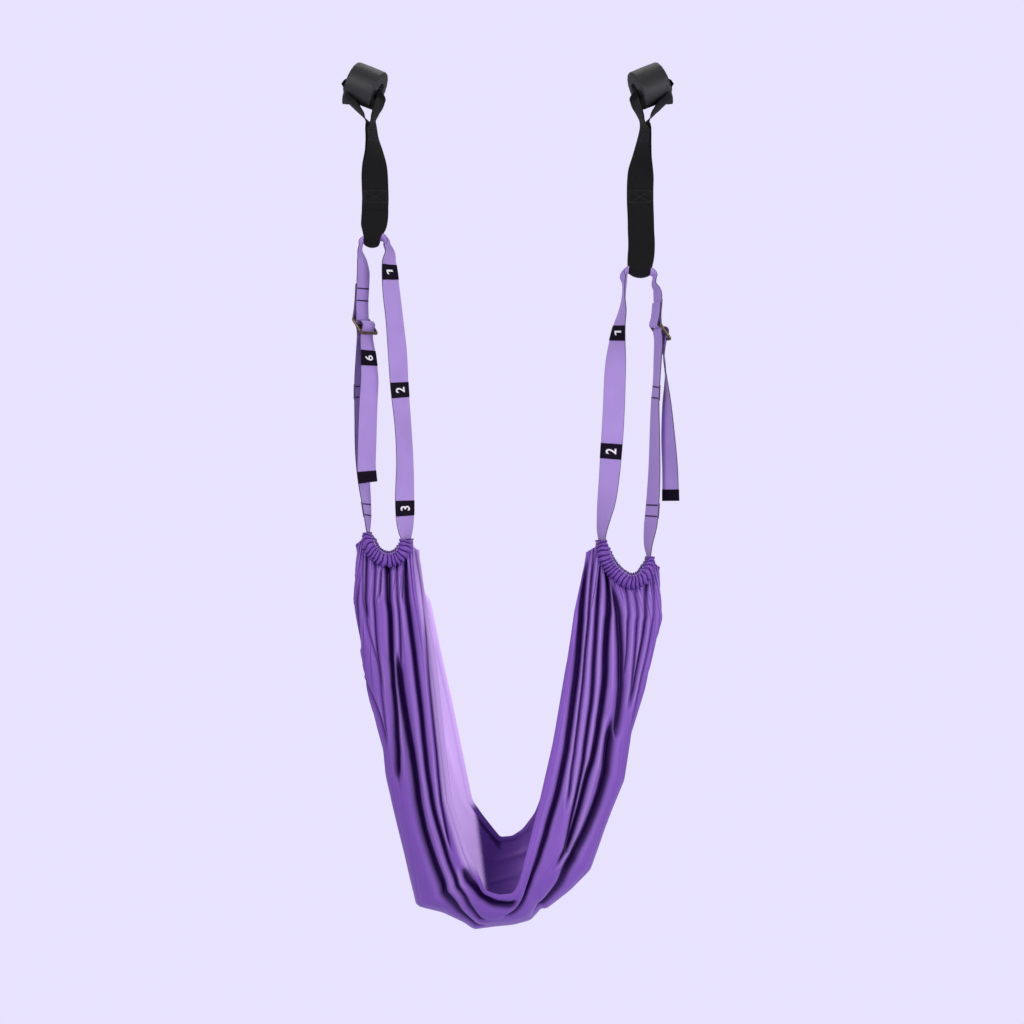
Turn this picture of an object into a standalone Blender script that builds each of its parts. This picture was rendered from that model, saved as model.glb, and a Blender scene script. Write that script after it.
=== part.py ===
"""Aerial yoga door strap: two door anchors, two adjustable webbing loops and a fabric hammock.

Lengths in this file are millimetres until a mesh is made, which is in metres. +Z is up and -Y
is the front. The origin lies midway between the sewn junctions of the two door anchors.

Each half of the strap is written once, as the left one, with X negative. The right half uses the
same functions with its own stations, and its X is turned round when the mesh is made.
"""

import math

import bmesh
import bpy
import numpy as np
from mathutils import Matrix, Vector

METRE = 0.001
GAP = 0.4
CUT_GAP = 1.2

# Webbing
BLACK_WIDTH, BLACK_THICK = 45.0, 2.0
PURPLE_WIDTH, PURPLE_THICK = 38.0, 1.8
LAYER_GAP = 0.6
LABEL_LENGTH, LABEL_THICK = 26.0, 0.8
LABEL_PITCH = 200.0
TAB_LENGTH = 18.0
STITCH_WIDE, STITCH_THICK, STITCH_SPACING, STITCH_GAP = 1.6, 0.6, 18.6, 0.7

# Door anchor roller
ROLLER_RADIUS, ROLLER_LENGTH = 34.0, 52.0
ROLLER_SLOPE, ROLLER_YAW = 23.0, 15.0
CORE_BORE, CORE_RADIUS = 15.5, 17.5
COVER_THICK = 1.2
BORE_CURL = 3.6

# Swing points
DOOR_EDGE_Z = -115.0
DOOR_EDGE_GAP = 3.0
LOOP_RADIUS = 15.8
SADDLE_RADIUS = 12.2
SADDLE_CURL = PURPLE_WIDTH / SADDLE_RADIUS
SADDLE_HALF, SADDLE_BEND = 11.0, 4.0
LOOP_SQUEEZE = 0.54

# Three-bar buckle
BAR_RADIUS, BAR_SPACING = 2.0, 15.0
BUCKLE_LEAN = 36.0
BUCKLE_HALF_WIDTH = 23.5
ROD_SIDES = 10
BIGHT_DROP = 17.0
TAIL_GAP = 0.9

# Casing and hammock
CASING_HALF_DEPTH, CASING_HALF_TALL, CASING_WALL = 23.5, 9.0, 2.4
CASING_RUFFLE, CASING_RUFFLES = 1.2, 8
PANEL_THICK = 2.0
PANEL_COLUMNS, PANEL_ROWS = 20, 28
HEM_WIDTH, HEM_THICK = 9.0, 3.2

COLOURS = {
    "black_webbing": ((0.018, 0.018, 0.019), 0.75, 0.0),
    "roller_fabric": ((0.06, 0.058, 0.062), 0.65, 0.0),
    "roller_foam": ((0.035, 0.035, 0.037), 0.9, 0.0),
    "roller_core": ((0.05, 0.05, 0.05), 0.45, 0.0),
    "purple_webbing": ((0.40, 0.27, 0.66), 0.7, 0.0),
    "purple_thread": ((0.10, 0.03, 0.22), 0.7, 0.0),
    "black_thread": ((0.01, 0.01, 0.01), 0.7, 0.0),
    "label": ((0.006, 0.003, 0.012), 0.5, 0.0),
    "buckle_metal": ((0.16, 0.14, 0.12), 0.35, 1.0),
    "hammock_fabric": ((0.24, 0.10, 0.50), 0.5, 0.0),
}

SIDES = {
    "left": {
        "mirror": 1.0,
        "roller": (-239.0, 0.0, 56.0),
        "strap_top": ((-230, -8, 68), (-228, -32, 66), (-225, -56, 50), (-224, -79, 26), (-223.5, -100, 8)),
        "strap_hinge_x": -223.0,
        "strap_low": ((-222.5, -135, 0), (-223, -152, 0)),
        "saddle": (-228.0, 0.0, -201.0),
        "saddle_slope": -6.4,
        "buckle": (-240.0, -6.0, -350.0),
        "buckle_turn": 58.0,
        "fold": 1.0,
        "wrap_top": (-243.0, -4.0, -272.0),
        "adjuster": ((-243.5, -3, -254, 62, 0.2), (-243.3, -1, -236, 76, 0.7)),
        "front_run": (
            (-206, -3, -238, 64, 0.8), (-201.5, -5, -246, 52, 0.45), (-197, -8, -272, 42, 0.1),
            (-195, -9, -296, 41, 0),
            (-190, -9, -340, 40, 0), (-185, -10, -395, 34, 0), (-181.5, -10, -455, 38, 0),
            (-175.5, -9, -520, 44, 0), (-172.5, -7, -580, 42, 0), (-173, -5, -640, 36, 0),
            (-172.5, -3, -670, 48, 0), (-171, -1, -692, 70, 0),
        ),
        "bend": (
            (-171, 0, -709, 86, 0), (-175, 0, -725, 90, 0), (-187, 0, -738.5, 90, 0),
            (-204, 0, -742, 90, 0), (-220.5, 0, -733.5, 90, 0), (-231, 0, -717, 90, 0),
            (-235.5, 0, -698, 88, 0),
        ),
        "back_run": (
            (-238, 1, -676, 78, 0), (-241, 3, -648, 68, 0), (-246, 5, -607, 60, 0),
            (-249.5, 6, -556, 57, 0), (-250.5, 6, -500, 57, 0), (-248.5, 5, -441, 58, 0),
        ),
        "first_label_z": -259.0,
        "label_steps": (0.0, 1.0, 2.0, 3.0, 4.0),
        "tail": (
            (-234, -12, -404, 48, 0), (-232, -15, -440, 40, 0), (-234, -17, -480, 37, 0),
            (-236, -19, -542, 36, 0), (-237, -19, -590, 36, 0), (-235, -18, -613, 36, 0),
        ),
        "tail_label_z": -404.0,
        "corners": ((-149, -730), (-256, -720)),
    },
    "right": {
        "mirror": -1.0,
        "roller": (-241.0, 0.0, 56.0),
        "strap_top": ((-234, -16, 70), (-231, -42, 60), (-228, -66, 46), (-226, -87, 24), (-225.5, -102, 9)),
        "strap_hinge_x": -225.0,
        "strap_low": ((-225, -140, 8), (-226, -165, 12), (-226.5, -190, 10)),
        "saddle": (-224.0, 0.0, -252.0),
        "saddle_slope": 6.4,
        "buckle": (-259.0, -2.0, -360.0),
        "buckle_turn": 70.0,
        "fold": -1.0,
        "wrap_top": (-251.0, -2.0, -306.0),
        "adjuster": ((-247, -1, -288, 76, 0.5),),
        "front_run": (
            (-202, -1, -292, 84, 0.8), (-198, -3, -322, 74, 0.3), (-190.5, -5, -348, 60, 0.1),
            (-186.5, -7, -375, 46, 0), (-183, -9, -422, 22, 0), (-180, -10, -497, 14, 0),
            (-176, -9, -562, 17, 0), (-171.5, -7, -617, 28, 0), (-167.5, -5, -650, 38, 0),
            (-163, -3, -676, 56, 0), (-160.5, -1, -694, 76, 0),
        ),
        "bend": (
            (-160.5, 0, -711, 88, 0), (-164, 0, -729, 90, 0), (-172.5, 0, -749, 90, 0),
            (-188, 0, -768, 90, 0), (-208, 0, -779, 90, 0), (-226, 0, -774, 90, 0),
            (-237, 0, -758, 90, 0), (-240.5, 0, -739, 89, 0),
        ),
        "back_run": (
            (-240.5, 1, -719, 80, 0), (-242.5, 3, -690, 66, 0), (-246, 4, -660, 60, 0),
            (-249, 5, -600, 61, 0), (-250, 5, -530, 65, 0), (-251, 4, -480, 69, 0),
            (-252.5, 2, -441, 70, 0),
        ),
        "first_label_z": -362.0,
        "label_steps": (0.0, 1.0, 2.0, 2.92, 3.92),
        "tail": (
            (-266, -2, -404, 78, 0), (-269, -5, -440, 76, 0), (-272, -8, -486, 66, 0),
            (-274, -9, -540, 54, 0), (-276.5, -9, -590, 46, 0), (-277, -9, -644, 42, 0),
        ),
        "tail_label_z": -414.0,
        "corners": ((-134, -733), (-259, -758)),
    },
}

# Hammock guides. Along the cloth, from the left casing (0) to the right one (1): the outer fold
# line of the trough, its near rim and its far rim, as (X, Z), then how far each rim stands
# forward and back, and the share of the cloth's width that lies on the near side.
HAMMOCK = (
    (0.000, (-256, -768), (-147, -768), (-256, -768), 20, 0, 1.00),
    (0.056, (-257, -813), (-145, -813), (-192, -828), 26, 22, 0.91),
    (0.110, (-246, -897), (-132, -897), (-119, -897), 32, 34, 0.81),
    (0.167, (-232, -982), (-118, -982), (-96, -977), 38, 40, 0.76),
    (0.278, (-193, -1151), (-98, -1154), (-59, -1142), 52, 56, 0.68),
    (0.333, (-172, -1235), (-74, -1235), (-39, -1188), 60, 66, 0.64),
    (0.389, (-142, -1318), (-49, -1284), (-25, -1215), 72, 80, 0.60),
    (0.444, (-57, -1358), (-27, -1296), (-12, -1229), 80, 90, 0.57),
    (0.500, (22, -1352), (2, -1297), (14, -1222), 84, 94, 0.55),
    (0.556, (90, -1317), (22, -1273), (34, -1198), 80, 90, 0.57),
    (0.611, (139, -1266), (44, -1224), (47, -1171), 70, 80, 0.60),
    (0.722, (188, -1131), (74, -1104), (71, -1092), 54, 58, 0.66),
    (0.833, (233, -957), (98, -945), (96, -941), 40, 42, 0.74),
    (0.890, (252, -890), (112, -882), (110, -882), 33, 35, 0.81),
    (0.944, (264, -842), (121, -840), (192, -860), 26, 22, 0.91),
    (1.000, (262, -806), (130, -800), (262, -806), 20, 0, 1.00),
)
GATHER_END = 0.075


def unit(vectors):
    """Vectors divided by their length."""
    return vectors / np.linalg.norm(vectors, axis=-1, keepdims=True)


def smooth(rows, fine):
    """A cubic Hermite curve through every row, with `fine` steps between two rows."""
    rows = np.array(rows, float)
    gaps = np.sqrt(np.linalg.norm(np.diff(rows[:, :3], axis=0), axis=1))
    knots = np.concatenate([[0.0], np.cumsum(gaps)])
    slopes = np.gradient(rows, knots, axis=0)
    step = (np.arange(fine) / fine)[None, :, None]
    gap = gaps[:, None, None]
    start, end = rows[:-1, None], rows[1:, None]
    leave, arrive = slopes[:-1, None] * gap, slopes[1:, None] * gap
    curve = (
        start * (2 * step**3 - 3 * step**2 + 1)
        + leave * (step**3 - 2 * step**2 + step)
        + end * (3 * step**2 - 2 * step**3)
        + arrive * (step**3 - step**2)
    )
    return np.concatenate([curve.reshape(-1, rows.shape[1]), rows[-1:]])


def lengths_along(run):
    """Distance from the run's start to each of its rows."""
    return np.concatenate([[0.0], np.cumsum(np.linalg.norm(np.diff(run[:, :3], axis=0), axis=1))])


def rows_at(values, along, wanted):
    """The rows of a run or surface at the wanted distances along it."""
    flat = values.reshape(len(values), -1)
    rows = np.stack([np.interp(wanted, along, column) for column in flat.T], axis=1)
    return rows.reshape(len(wanted), *values.shape[1:])


def cut_rows(values, along, start, end):
    """The rows between two distances along a run or surface, its own rows kept inside."""
    inside = along[(along > start + 1.0) & (along < end - 1.0)]
    return rows_at(values, along, np.concatenate([[start], inside, [end]]))


def with_rows_at(run, distances):
    """The run with a row more at each distance that isn't near one of its own rows."""
    along = lengths_along(run)
    added = [spot for spot in distances if np.abs(along - spot).min() > 2.5]
    return rows_at(run, along, np.sort(np.concatenate([along, added])))


def frames(run):
    """Tangent, width direction and facing direction of a flat strap at each row of its run."""
    tangent = unit(np.gradient(run[:, :3], lengths_along(run), axis=0))
    turn, slope = np.radians(run[:, 3]), np.radians(run[:, 5])
    wide = np.stack([np.cos(turn) * np.cos(slope), np.sin(turn), np.cos(turn) * np.sin(slope)], axis=1)
    wide = unit(wide - tangent * (wide * tangent).sum(1, keepdims=True))
    return tangent, wide, np.cross(tangent, wide)


def strap_surface(run, width, columns, lift=0.0):
    """Points of a strap's middle surface, or of one lifted off its face.

    A row of a run is X, Y, Z, the turn of the strap's width from +X towards +Y in degrees, the
    curl of its section in radians, the slope of its width in degrees and its share of the width.
    """
    _, wide, facing = frames(run)
    curl = np.maximum(run[:, 4], 1e-3)[:, None]
    radius = width * run[:, 6][:, None] / curl
    angle = np.linspace(-0.5, 0.5, columns + 1)[None, :] * curl
    side = (radius - lift) * np.sin(angle)
    rise = radius - (radius - lift) * np.cos(angle)
    return run[:, None, :3] + side[..., None] * wide[:, None] + rise[..., None] * facing[:, None]


def row(x, y, z, turn, curl=0.0, slope=0.0, share=1.0):
    """One station of a strap."""
    return (x, y, z, turn, curl, slope, share)


def material(name):
    """The named finish, made once."""
    found = bpy.data.materials.get(name)
    if found:
        return found
    colour, roughness, metallic = COLOURS[name]
    made = bpy.data.materials.new(name)
    made.use_nodes = True
    shader = made.node_tree.nodes["Principled BSDF"]
    shader.inputs["Base Color"].default_value = (*colour, 1.0)
    shader.inputs["Roughness"].default_value = roughness
    shader.inputs["Metallic"].default_value = metallic
    made.diffuse_color = (*colour, 1.0)
    return made


def add_pivot(name, place, turn=None):
    """An empty on a joint's axis, which the moving pieces are parented to."""
    pivot = bpy.data.objects.new(name, None)
    pivot.empty_display_size = 0.03
    pivot.location = Vector(place) * METRE
    if turn is not None:
        pivot.rotation_euler = turn.to_euler()
    bpy.context.scene.collection.objects.link(pivot)
    return pivot


def add_object(name, mesh, finish, pivot=None):
    """An object for a finished mesh, with its finish and its parent."""
    mesh.materials.append(material(finish))
    mesh.shade_smooth()
    mesh.set_sharp_from_angle(angle=math.radians(40))
    obj = bpy.data.objects.new(name, mesh)
    bpy.context.scene.collection.objects.link(obj)
    if pivot is not None:
        obj.parent = pivot
    return obj


def grid_faces(rows, columns, offset=0, ring=False):
    """Quads between neighbouring rows and columns of a grid, closed round on itself for a ring."""
    across = columns if ring else columns - 1
    i, j = np.meshgrid(np.arange(rows - 1), np.arange(across), indexing="ij")
    following = (j + 1) % columns
    quads = np.stack(
        [i * columns + j, i * columns + following, (i + 1) * columns + following, (i + 1) * columns + j],
        axis=-1,
    )
    return (quads.reshape(-1, 4) + offset).tolist()


def add_sheets(name, grids, thickness, finish, side=None, pivot=None, ring=False):
    """One object of the given point grids, each thickened evenly to both sides."""
    points, faces = [], []
    for grid in grids:
        rows, columns = grid.shape[:2]
        faces += grid_faces(rows, columns, sum(map(len, points)), ring)
        points.append(grid.reshape(-1, 3))
    points = np.concatenate(points) * METRE
    if side is not None:
        points = points * (side["mirror"], 1.0, 1.0)
    if pivot is not None:
        points = points - np.array(pivot.location)
    mesh = bpy.data.meshes.new(name)
    mesh.from_pydata(points.tolist(), [], faces)
    mesh.update()
    obj = add_object(name, mesh, finish, pivot)
    wall = obj.modifiers.new("Thickness", "SOLIDIFY")
    wall.thickness = thickness * METRE
    wall.offset = 0.0
    return obj


def add_turned(name, profile, finish, pivot, steps=20):
    """A ring turned from a closed (radius, height) profile about the pivot's own Z axis."""
    shape = bmesh.new()
    corners = [shape.verts.new((r * METRE, 0.0, z * METRE)) for r, z in profile]
    outline = shape.faces.new(corners)
    edges = list(outline.edges)
    shape.faces.remove(outline)
    bmesh.ops.spin(
        shape, geom=corners + edges, cent=(0, 0, 0), axis=(0, 0, 1),
        angle=2 * math.pi, steps=steps, use_merge=True,
    )
    bmesh.ops.recalc_face_normals(shape, faces=shape.faces)
    mesh = bpy.data.meshes.new(name)
    shape.to_mesh(mesh)
    shape.free()
    return add_object(name, mesh, finish, pivot)


def ring_profile(inner, outer, half, ease):
    """A tube's section with its outer rims eased."""
    return (
        (inner, -half), (outer - ease, -half), (outer, -half + ease),
        (outer, half - ease), (outer - ease, half), (inner, half),
    )


def roller_axis(side):
    """The roller's bore direction, down towards the middle and a little to the front."""
    slope, yaw = math.radians(ROLLER_SLOPE), math.radians(ROLLER_YAW)
    return np.array([math.cos(slope) * math.cos(yaw), -math.sin(yaw), -math.sin(slope) * math.cos(yaw)])


def add_roller(name, side):
    """Foam roller of a door anchor: plastic core tube, foam sleeve and sewn fabric cover."""
    axis = roller_axis(side) * (side["mirror"], 1.0, 1.0)
    place = np.array(side["roller"]) * (side["mirror"], 1.0, 1.0)
    pivot = add_pivot(f"{name}_roller_axis", place, Vector(axis).to_track_quat("Z", "Y"))
    half = ROLLER_LENGTH / 2
    foam_out = ROLLER_RADIUS - COVER_THICK - GAP
    foam_half = half - COVER_THICK - GAP
    add_turned(
        f"{name}_roller_core", ring_profile(CORE_BORE, CORE_RADIUS, half + 1.0, 0.5), "roller_core", pivot)
    add_turned(
        f"{name}_roller_foam", ring_profile(CORE_RADIUS + GAP, foam_out, foam_half, 2.5), "roller_foam", pivot)
    inner, lip, ease = ROLLER_RADIUS - COVER_THICK, CORE_RADIUS + GAP, 3.0
    cover = (
        (lip, -half), (ROLLER_RADIUS - ease, -half), (ROLLER_RADIUS - ease * 0.3, -half + ease * 0.3),
        (ROLLER_RADIUS, -half + ease), (ROLLER_RADIUS, half - ease),
        (ROLLER_RADIUS - ease * 0.3, half - ease * 0.3), (ROLLER_RADIUS - ease, half), (lip, half),
        (lip, half - COVER_THICK), (inner - 2.0, half - COVER_THICK), (inner, half - COVER_THICK - 2.0),
        (inner, -half + COVER_THICK + 2.0), (inner - 2.0, -half + COVER_THICK), (lip, -half + COVER_THICK),
    )
    add_turned(f"{name}_roller_cover", cover, "roller_fabric", pivot)


def doubled(stations, layer):
    """Rows of one layer of a doubled strap, which stands off the middle along the facing side."""
    rows = []
    for x, z, turn in stations:
        angle = math.radians(turn)
        rows.append(row(x + layer * math.sin(angle), -layer * math.cos(angle), z, turn))
    return rows


def anchor_run(side):
    """The anchor's webbing: up the rear layer, through the roller and down the front layer."""
    centre, axis = np.array(side["roller"]), roller_axis(side)
    down = unit(np.array([-math.sin(math.radians(ROLLER_SLOPE)), 0.0, -math.cos(math.radians(ROLLER_SLOPE))]))
    layer = (BLACK_THICK + LAYER_GAP) / 2
    hinge = (side["strap_hinge_x"], DOOR_EDGE_Z + DOOR_EDGE_GAP, 4)
    stations = side["strap_top"] + (hinge,)
    junction = side["strap_top"][0][0]

    def beside(along, drop, forward=0.0):
        return centre + axis * along + down * drop + np.array([0.0, -forward, 0.0])

    rear = doubled(stations, -layer)[::-1]
    front = doubled(stations, layer)
    left = [
        row(junction - 5, 1, 3, 78), row(*beside(14, 46.5), 88), row(*beside(-6, 44), 94),
        row(*beside(-22, 40), 99), row(*beside(-33, 32.5), 95), row(*beside(-37.5, 24), 90, 0.4),
        row(*beside(-36.5, 17), 88, 1.3), row(*beside(-31, 13.2), 90, 2.6),
    ]
    bore = [row(*beside(along, BLACK_WIDTH / BORE_CURL), 90, BORE_CURL) for along in (-24, -8, 8, 24)]
    right = [
        row(*beside(31, 13.2), 90, 2.6), row(*beside(36, 17), 84, 1.3), row(*beside(38, 25), 78, 0.4),
        row(*beside(37.5, 34), 74), row(*beside(35, 42), 72),
    ]
    return smooth(rear + left + bore + right + front, 1)


def along_saddle(side, across, height, depth=0.0):
    """A point set from the saddle, where webbing hangs on webbing, along its tilted axis."""
    slope = math.radians(side["saddle_slope"])
    x, y, z = side["saddle"]
    return (
        x + across * math.cos(slope) - height * math.sin(slope),
        y + depth,
        z + across * math.sin(slope) + height * math.cos(slope),
    )


def door_strap_run(side):
    """The doubled black strap below the door's edge: front layer, bottom loop, rear layer."""
    layer = (BLACK_THICK + LAYER_GAP) / 2
    hinge = (side["strap_hinge_x"], DOOR_EDGE_Z - DOOR_EDGE_GAP, 4)
    stations = (hinge,) + side["strap_low"]
    slope = side["saddle_slope"]
    opening = ((46, 3.4, 0.3, 1.0), (32, 8.6, 0.6, 0.98), (19, 13.6, 0.9, 0.78), (8, LOOP_RADIUS, 1.0, 0.6))
    front = doubled(stations, layer)
    rear = doubled(stations, -layer)[::-1]
    top_x = stations[-1][0]
    for height, depth, near, share in opening:
        x, _, z = along_saddle(side, 0.0, height)
        x = top_x + (x - top_x) * near
        front.append(row(x, -depth, z, 0, 0, slope * near, share))
        rear.insert(0, row(x, depth, z, 0, 0, slope * near, share))
    loop = []
    for angle in np.radians(np.linspace(0, 180, 7)):
        place = along_saddle(side, 0.0, -LOOP_RADIUS * math.sin(angle), -LOOP_RADIUS * math.cos(angle))
        loop.append(row(*place, 0, 0, slope, LOOP_SQUEEZE))
    return smooth(front + loop + rear, 1)


def saddle_rows(side):
    """The purple webbing where it lies in the black loop, curled, and bends down at both sides."""
    slope = side["saddle_slope"]
    low = -SADDLE_RADIUS - SADDLE_BEND
    half = SADDLE_BEND * math.sqrt(0.5)
    bend = (
        (SADDLE_HALF + SADDLE_BEND, low - 10, 0.9), (SADDLE_HALF + SADDLE_BEND, low, 1.3),
        (SADDLE_HALF + half, low + half, 2.1),
    )
    rows = []
    for across, height, curl in bend:
        rows.append(row(*along_saddle(side, -across, height), 90, curl, slope))
    for across in np.linspace(-SADDLE_HALF, SADDLE_HALF, 5):
        rows.append(row(*along_saddle(side, across, -SADDLE_RADIUS), 90, SADDLE_CURL, slope))
    for across, height, curl in bend[::-1]:
        rows.append(row(*along_saddle(side, across, height), 90, curl, slope))
    return rows


def buckle_frame(side):
    """The buckle's width, front and up directions."""
    turn = math.radians(side["buckle_turn"])
    wide = np.array([math.cos(turn), math.sin(turn), 0.0])
    front = np.array([math.sin(turn), -math.cos(turn), 0.0]) * side["fold"]
    return wide, front, np.array([0.0, 0.0, 1.0])


def at_buckle(side, forward, up, across=0.0):
    """A point set from the buckle's middle bar."""
    wide, front, high = buckle_frame(side)
    return np.array(side["buckle"]) + wide * across + front * forward + high * up


def lean(side):
    """The step from the middle bar to the lower one, as forward and up."""
    angle = math.radians(BUCKLE_LEAN)
    return BAR_SPACING * math.sin(angle), -BAR_SPACING * math.cos(angle)


def bight_rows(side):
    """The webbing up through the buckle, over its middle bar and down again."""
    places = (
        (-3.3, -BIGHT_DROP), (-3.7, -8), (-4.8, -1), (-4.0, 5), (-0.6, 8.2), (3.8, 7.8),
        (7.2, 4.2), (7.6, -1), (5.6, -6.5), (3.9, -12), (3.2, -BIGHT_DROP),
    )
    return [row(*at_buckle(side, forward, up), side["buckle_turn"]) for forward, up in places]


def strap_run(side):
    """The whole numbered strap from its sewn end to the end of its tail, and where it is cut.

    The cuts are distances along it: the adjuster's low end, the top of the back run, the two
    ends of the bight in the buckle, and the tail's end. Then come the distances of its labels.
    """
    x, y, z = side["wrap_top"]
    start = [row(x, y, z + 2.0, side["buckle_turn"])] + [row(*station) for station in side["adjuster"]]
    loop = saddle_rows(side) + [row(*station) for station in side["front_run"] + side["bend"] + side["back_run"]]
    bight = bight_rows(side)
    middle = tuple((np.array(loop[-1]) + np.array(bight[0])) / 2)
    tail = [row(*station) for station in side["tail"]]
    run = smooth(start + loop + [middle] + bight + tail, 1)
    ends = lengths_along(run)[np.cumsum([len(start) - 1, len(loop), 2, len(bight) - 1, len(tail)])]
    first = distance_at_height(run, side["first_label_z"], ends[0] + 30)
    spots = [first + LABEL_PITCH * step for step in side["label_steps"]]
    spots.append(distance_at_height(run, side["tail_label_z"], ends[3]))
    edges = [spot + half for spot in spots for half in (-LABEL_LENGTH / 2, LABEL_LENGTH / 2)]
    return with_rows_at(run, edges), ends, spots


def add_webbing(name, run, span, side, finish, pivot=None, columns=4):
    """A strap along the part of its run between two distances."""
    black = finish == "black_webbing"
    width, thick = (BLACK_WIDTH, BLACK_THICK) if black else (PURPLE_WIDTH, PURPLE_THICK)
    surface = cut_rows(strap_surface(run, width, columns), lengths_along(run), *span)
    return add_sheets(name, [surface], thick, finish, side, pivot)


def add_box_stitch(name, run, start, end, face, width, thick, finish, side, pivot):
    """A sewn rectangle on one face of a strap: two rows across it and one along each edge."""
    surface = strap_surface(run, width, 2, face * (thick / 2 + STITCH_GAP + STITCH_THICK / 2))
    along = lengths_along(run)
    loops = []
    for inset in (0.0, STITCH_WIDE):
        reach = 0.84 - 2 * inset / width
        rows = rows_at(surface, along, [start + inset, (start + end) / 2, end - inset])
        left, middle, right = rows[:, 0], rows[:, 1], rows[:, 2]
        left, right = middle + (left - middle) * reach, middle + (right - middle) * reach
        loops.append([left[0], middle[0], right[0], right[1], right[2], middle[2], left[2], left[1]])
    return add_sheets(name, [np.array(loops)], STITCH_THICK, finish, side, pivot, ring=True)


def add_label(name, run, spot, side, pivot):
    """A woven number label on the outer face of the webbing."""
    surface = strap_surface(run, PURPLE_WIDTH, 4, PURPLE_THICK / 2 + GAP + LABEL_THICK / 2)
    half = LABEL_LENGTH / 2
    piece = cut_rows(surface, lengths_along(run), spot - half, spot + half)
    return add_sheets(name, [piece], LABEL_THICK, "label", side, pivot)


def distance_at_height(run, height, after):
    """How far along the run it first comes down to a height, past a given distance."""
    along = lengths_along(run)
    falling = (run[1:, 2] <= height) & (run[:-1, 2] > height) & (along[1:] > after)
    below = np.nonzero(falling)[0][0]
    share = (run[below, 2] - height) / (run[below, 2] - run[below + 1, 2])
    return along[below] + share * (along[below + 1] - along[below])


def add_anchor(name, side, roots, swing):
    """The black webbing of one side, above and below the door's edge, and its stitching."""
    upper = anchor_run(side)
    along = lengths_along(upper)
    add_webbing(f"{name}_anchor_webbing", upper, (0, along[-1]), side, "black_webbing", roots)
    add_box_stitch(
        f"{name}_anchor_stitches", upper, along[-6] + 1.2, along[-5] - 1.2, 1, BLACK_WIDTH, BLACK_THICK,
        "black_thread", side, roots)
    lower = door_strap_run(side)
    span = (0, lengths_along(lower)[-1])
    add_webbing(f"{name}_door_strap", lower, span, side, "black_webbing", swing)
    add_box_stitch(
        f"{name}_door_strap_stitches", lower, 5, 24, 1, BLACK_WIDTH, BLACK_THICK, "black_thread", side, swing)


def add_loop(name, side, run, ends, spots, pivot):
    """The numbered strap between its sewn end and the buckle, with its labels and their stitching."""
    half = CUT_GAP / 2
    webbing = (side, "purple_webbing", pivot)
    add_webbing(f"{name}_adjuster_strand", run, (0, ends[0] - half), *webbing)
    add_webbing(f"{name}_strap_loop", run, (ends[0] + half, ends[1] - half), *webbing)
    add_webbing(f"{name}_feed_strand", run, (ends[1] + half, ends[2] - half), *webbing, 2)
    for number, spot in enumerate(spots[:5], 1):
        add_label(f"{name}_label_{number}", run, spot, side, pivot)
    reach = (STITCH_SPACING + STITCH_WIDE) / 2
    for number, spot in enumerate(spots[3:5], 4):
        add_box_stitch(
            f"{name}_label_{number}_stitches", run, spot - reach, spot + reach, -1, PURPLE_WIDTH,
            PURPLE_THICK, "purple_thread", side, pivot)


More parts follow.
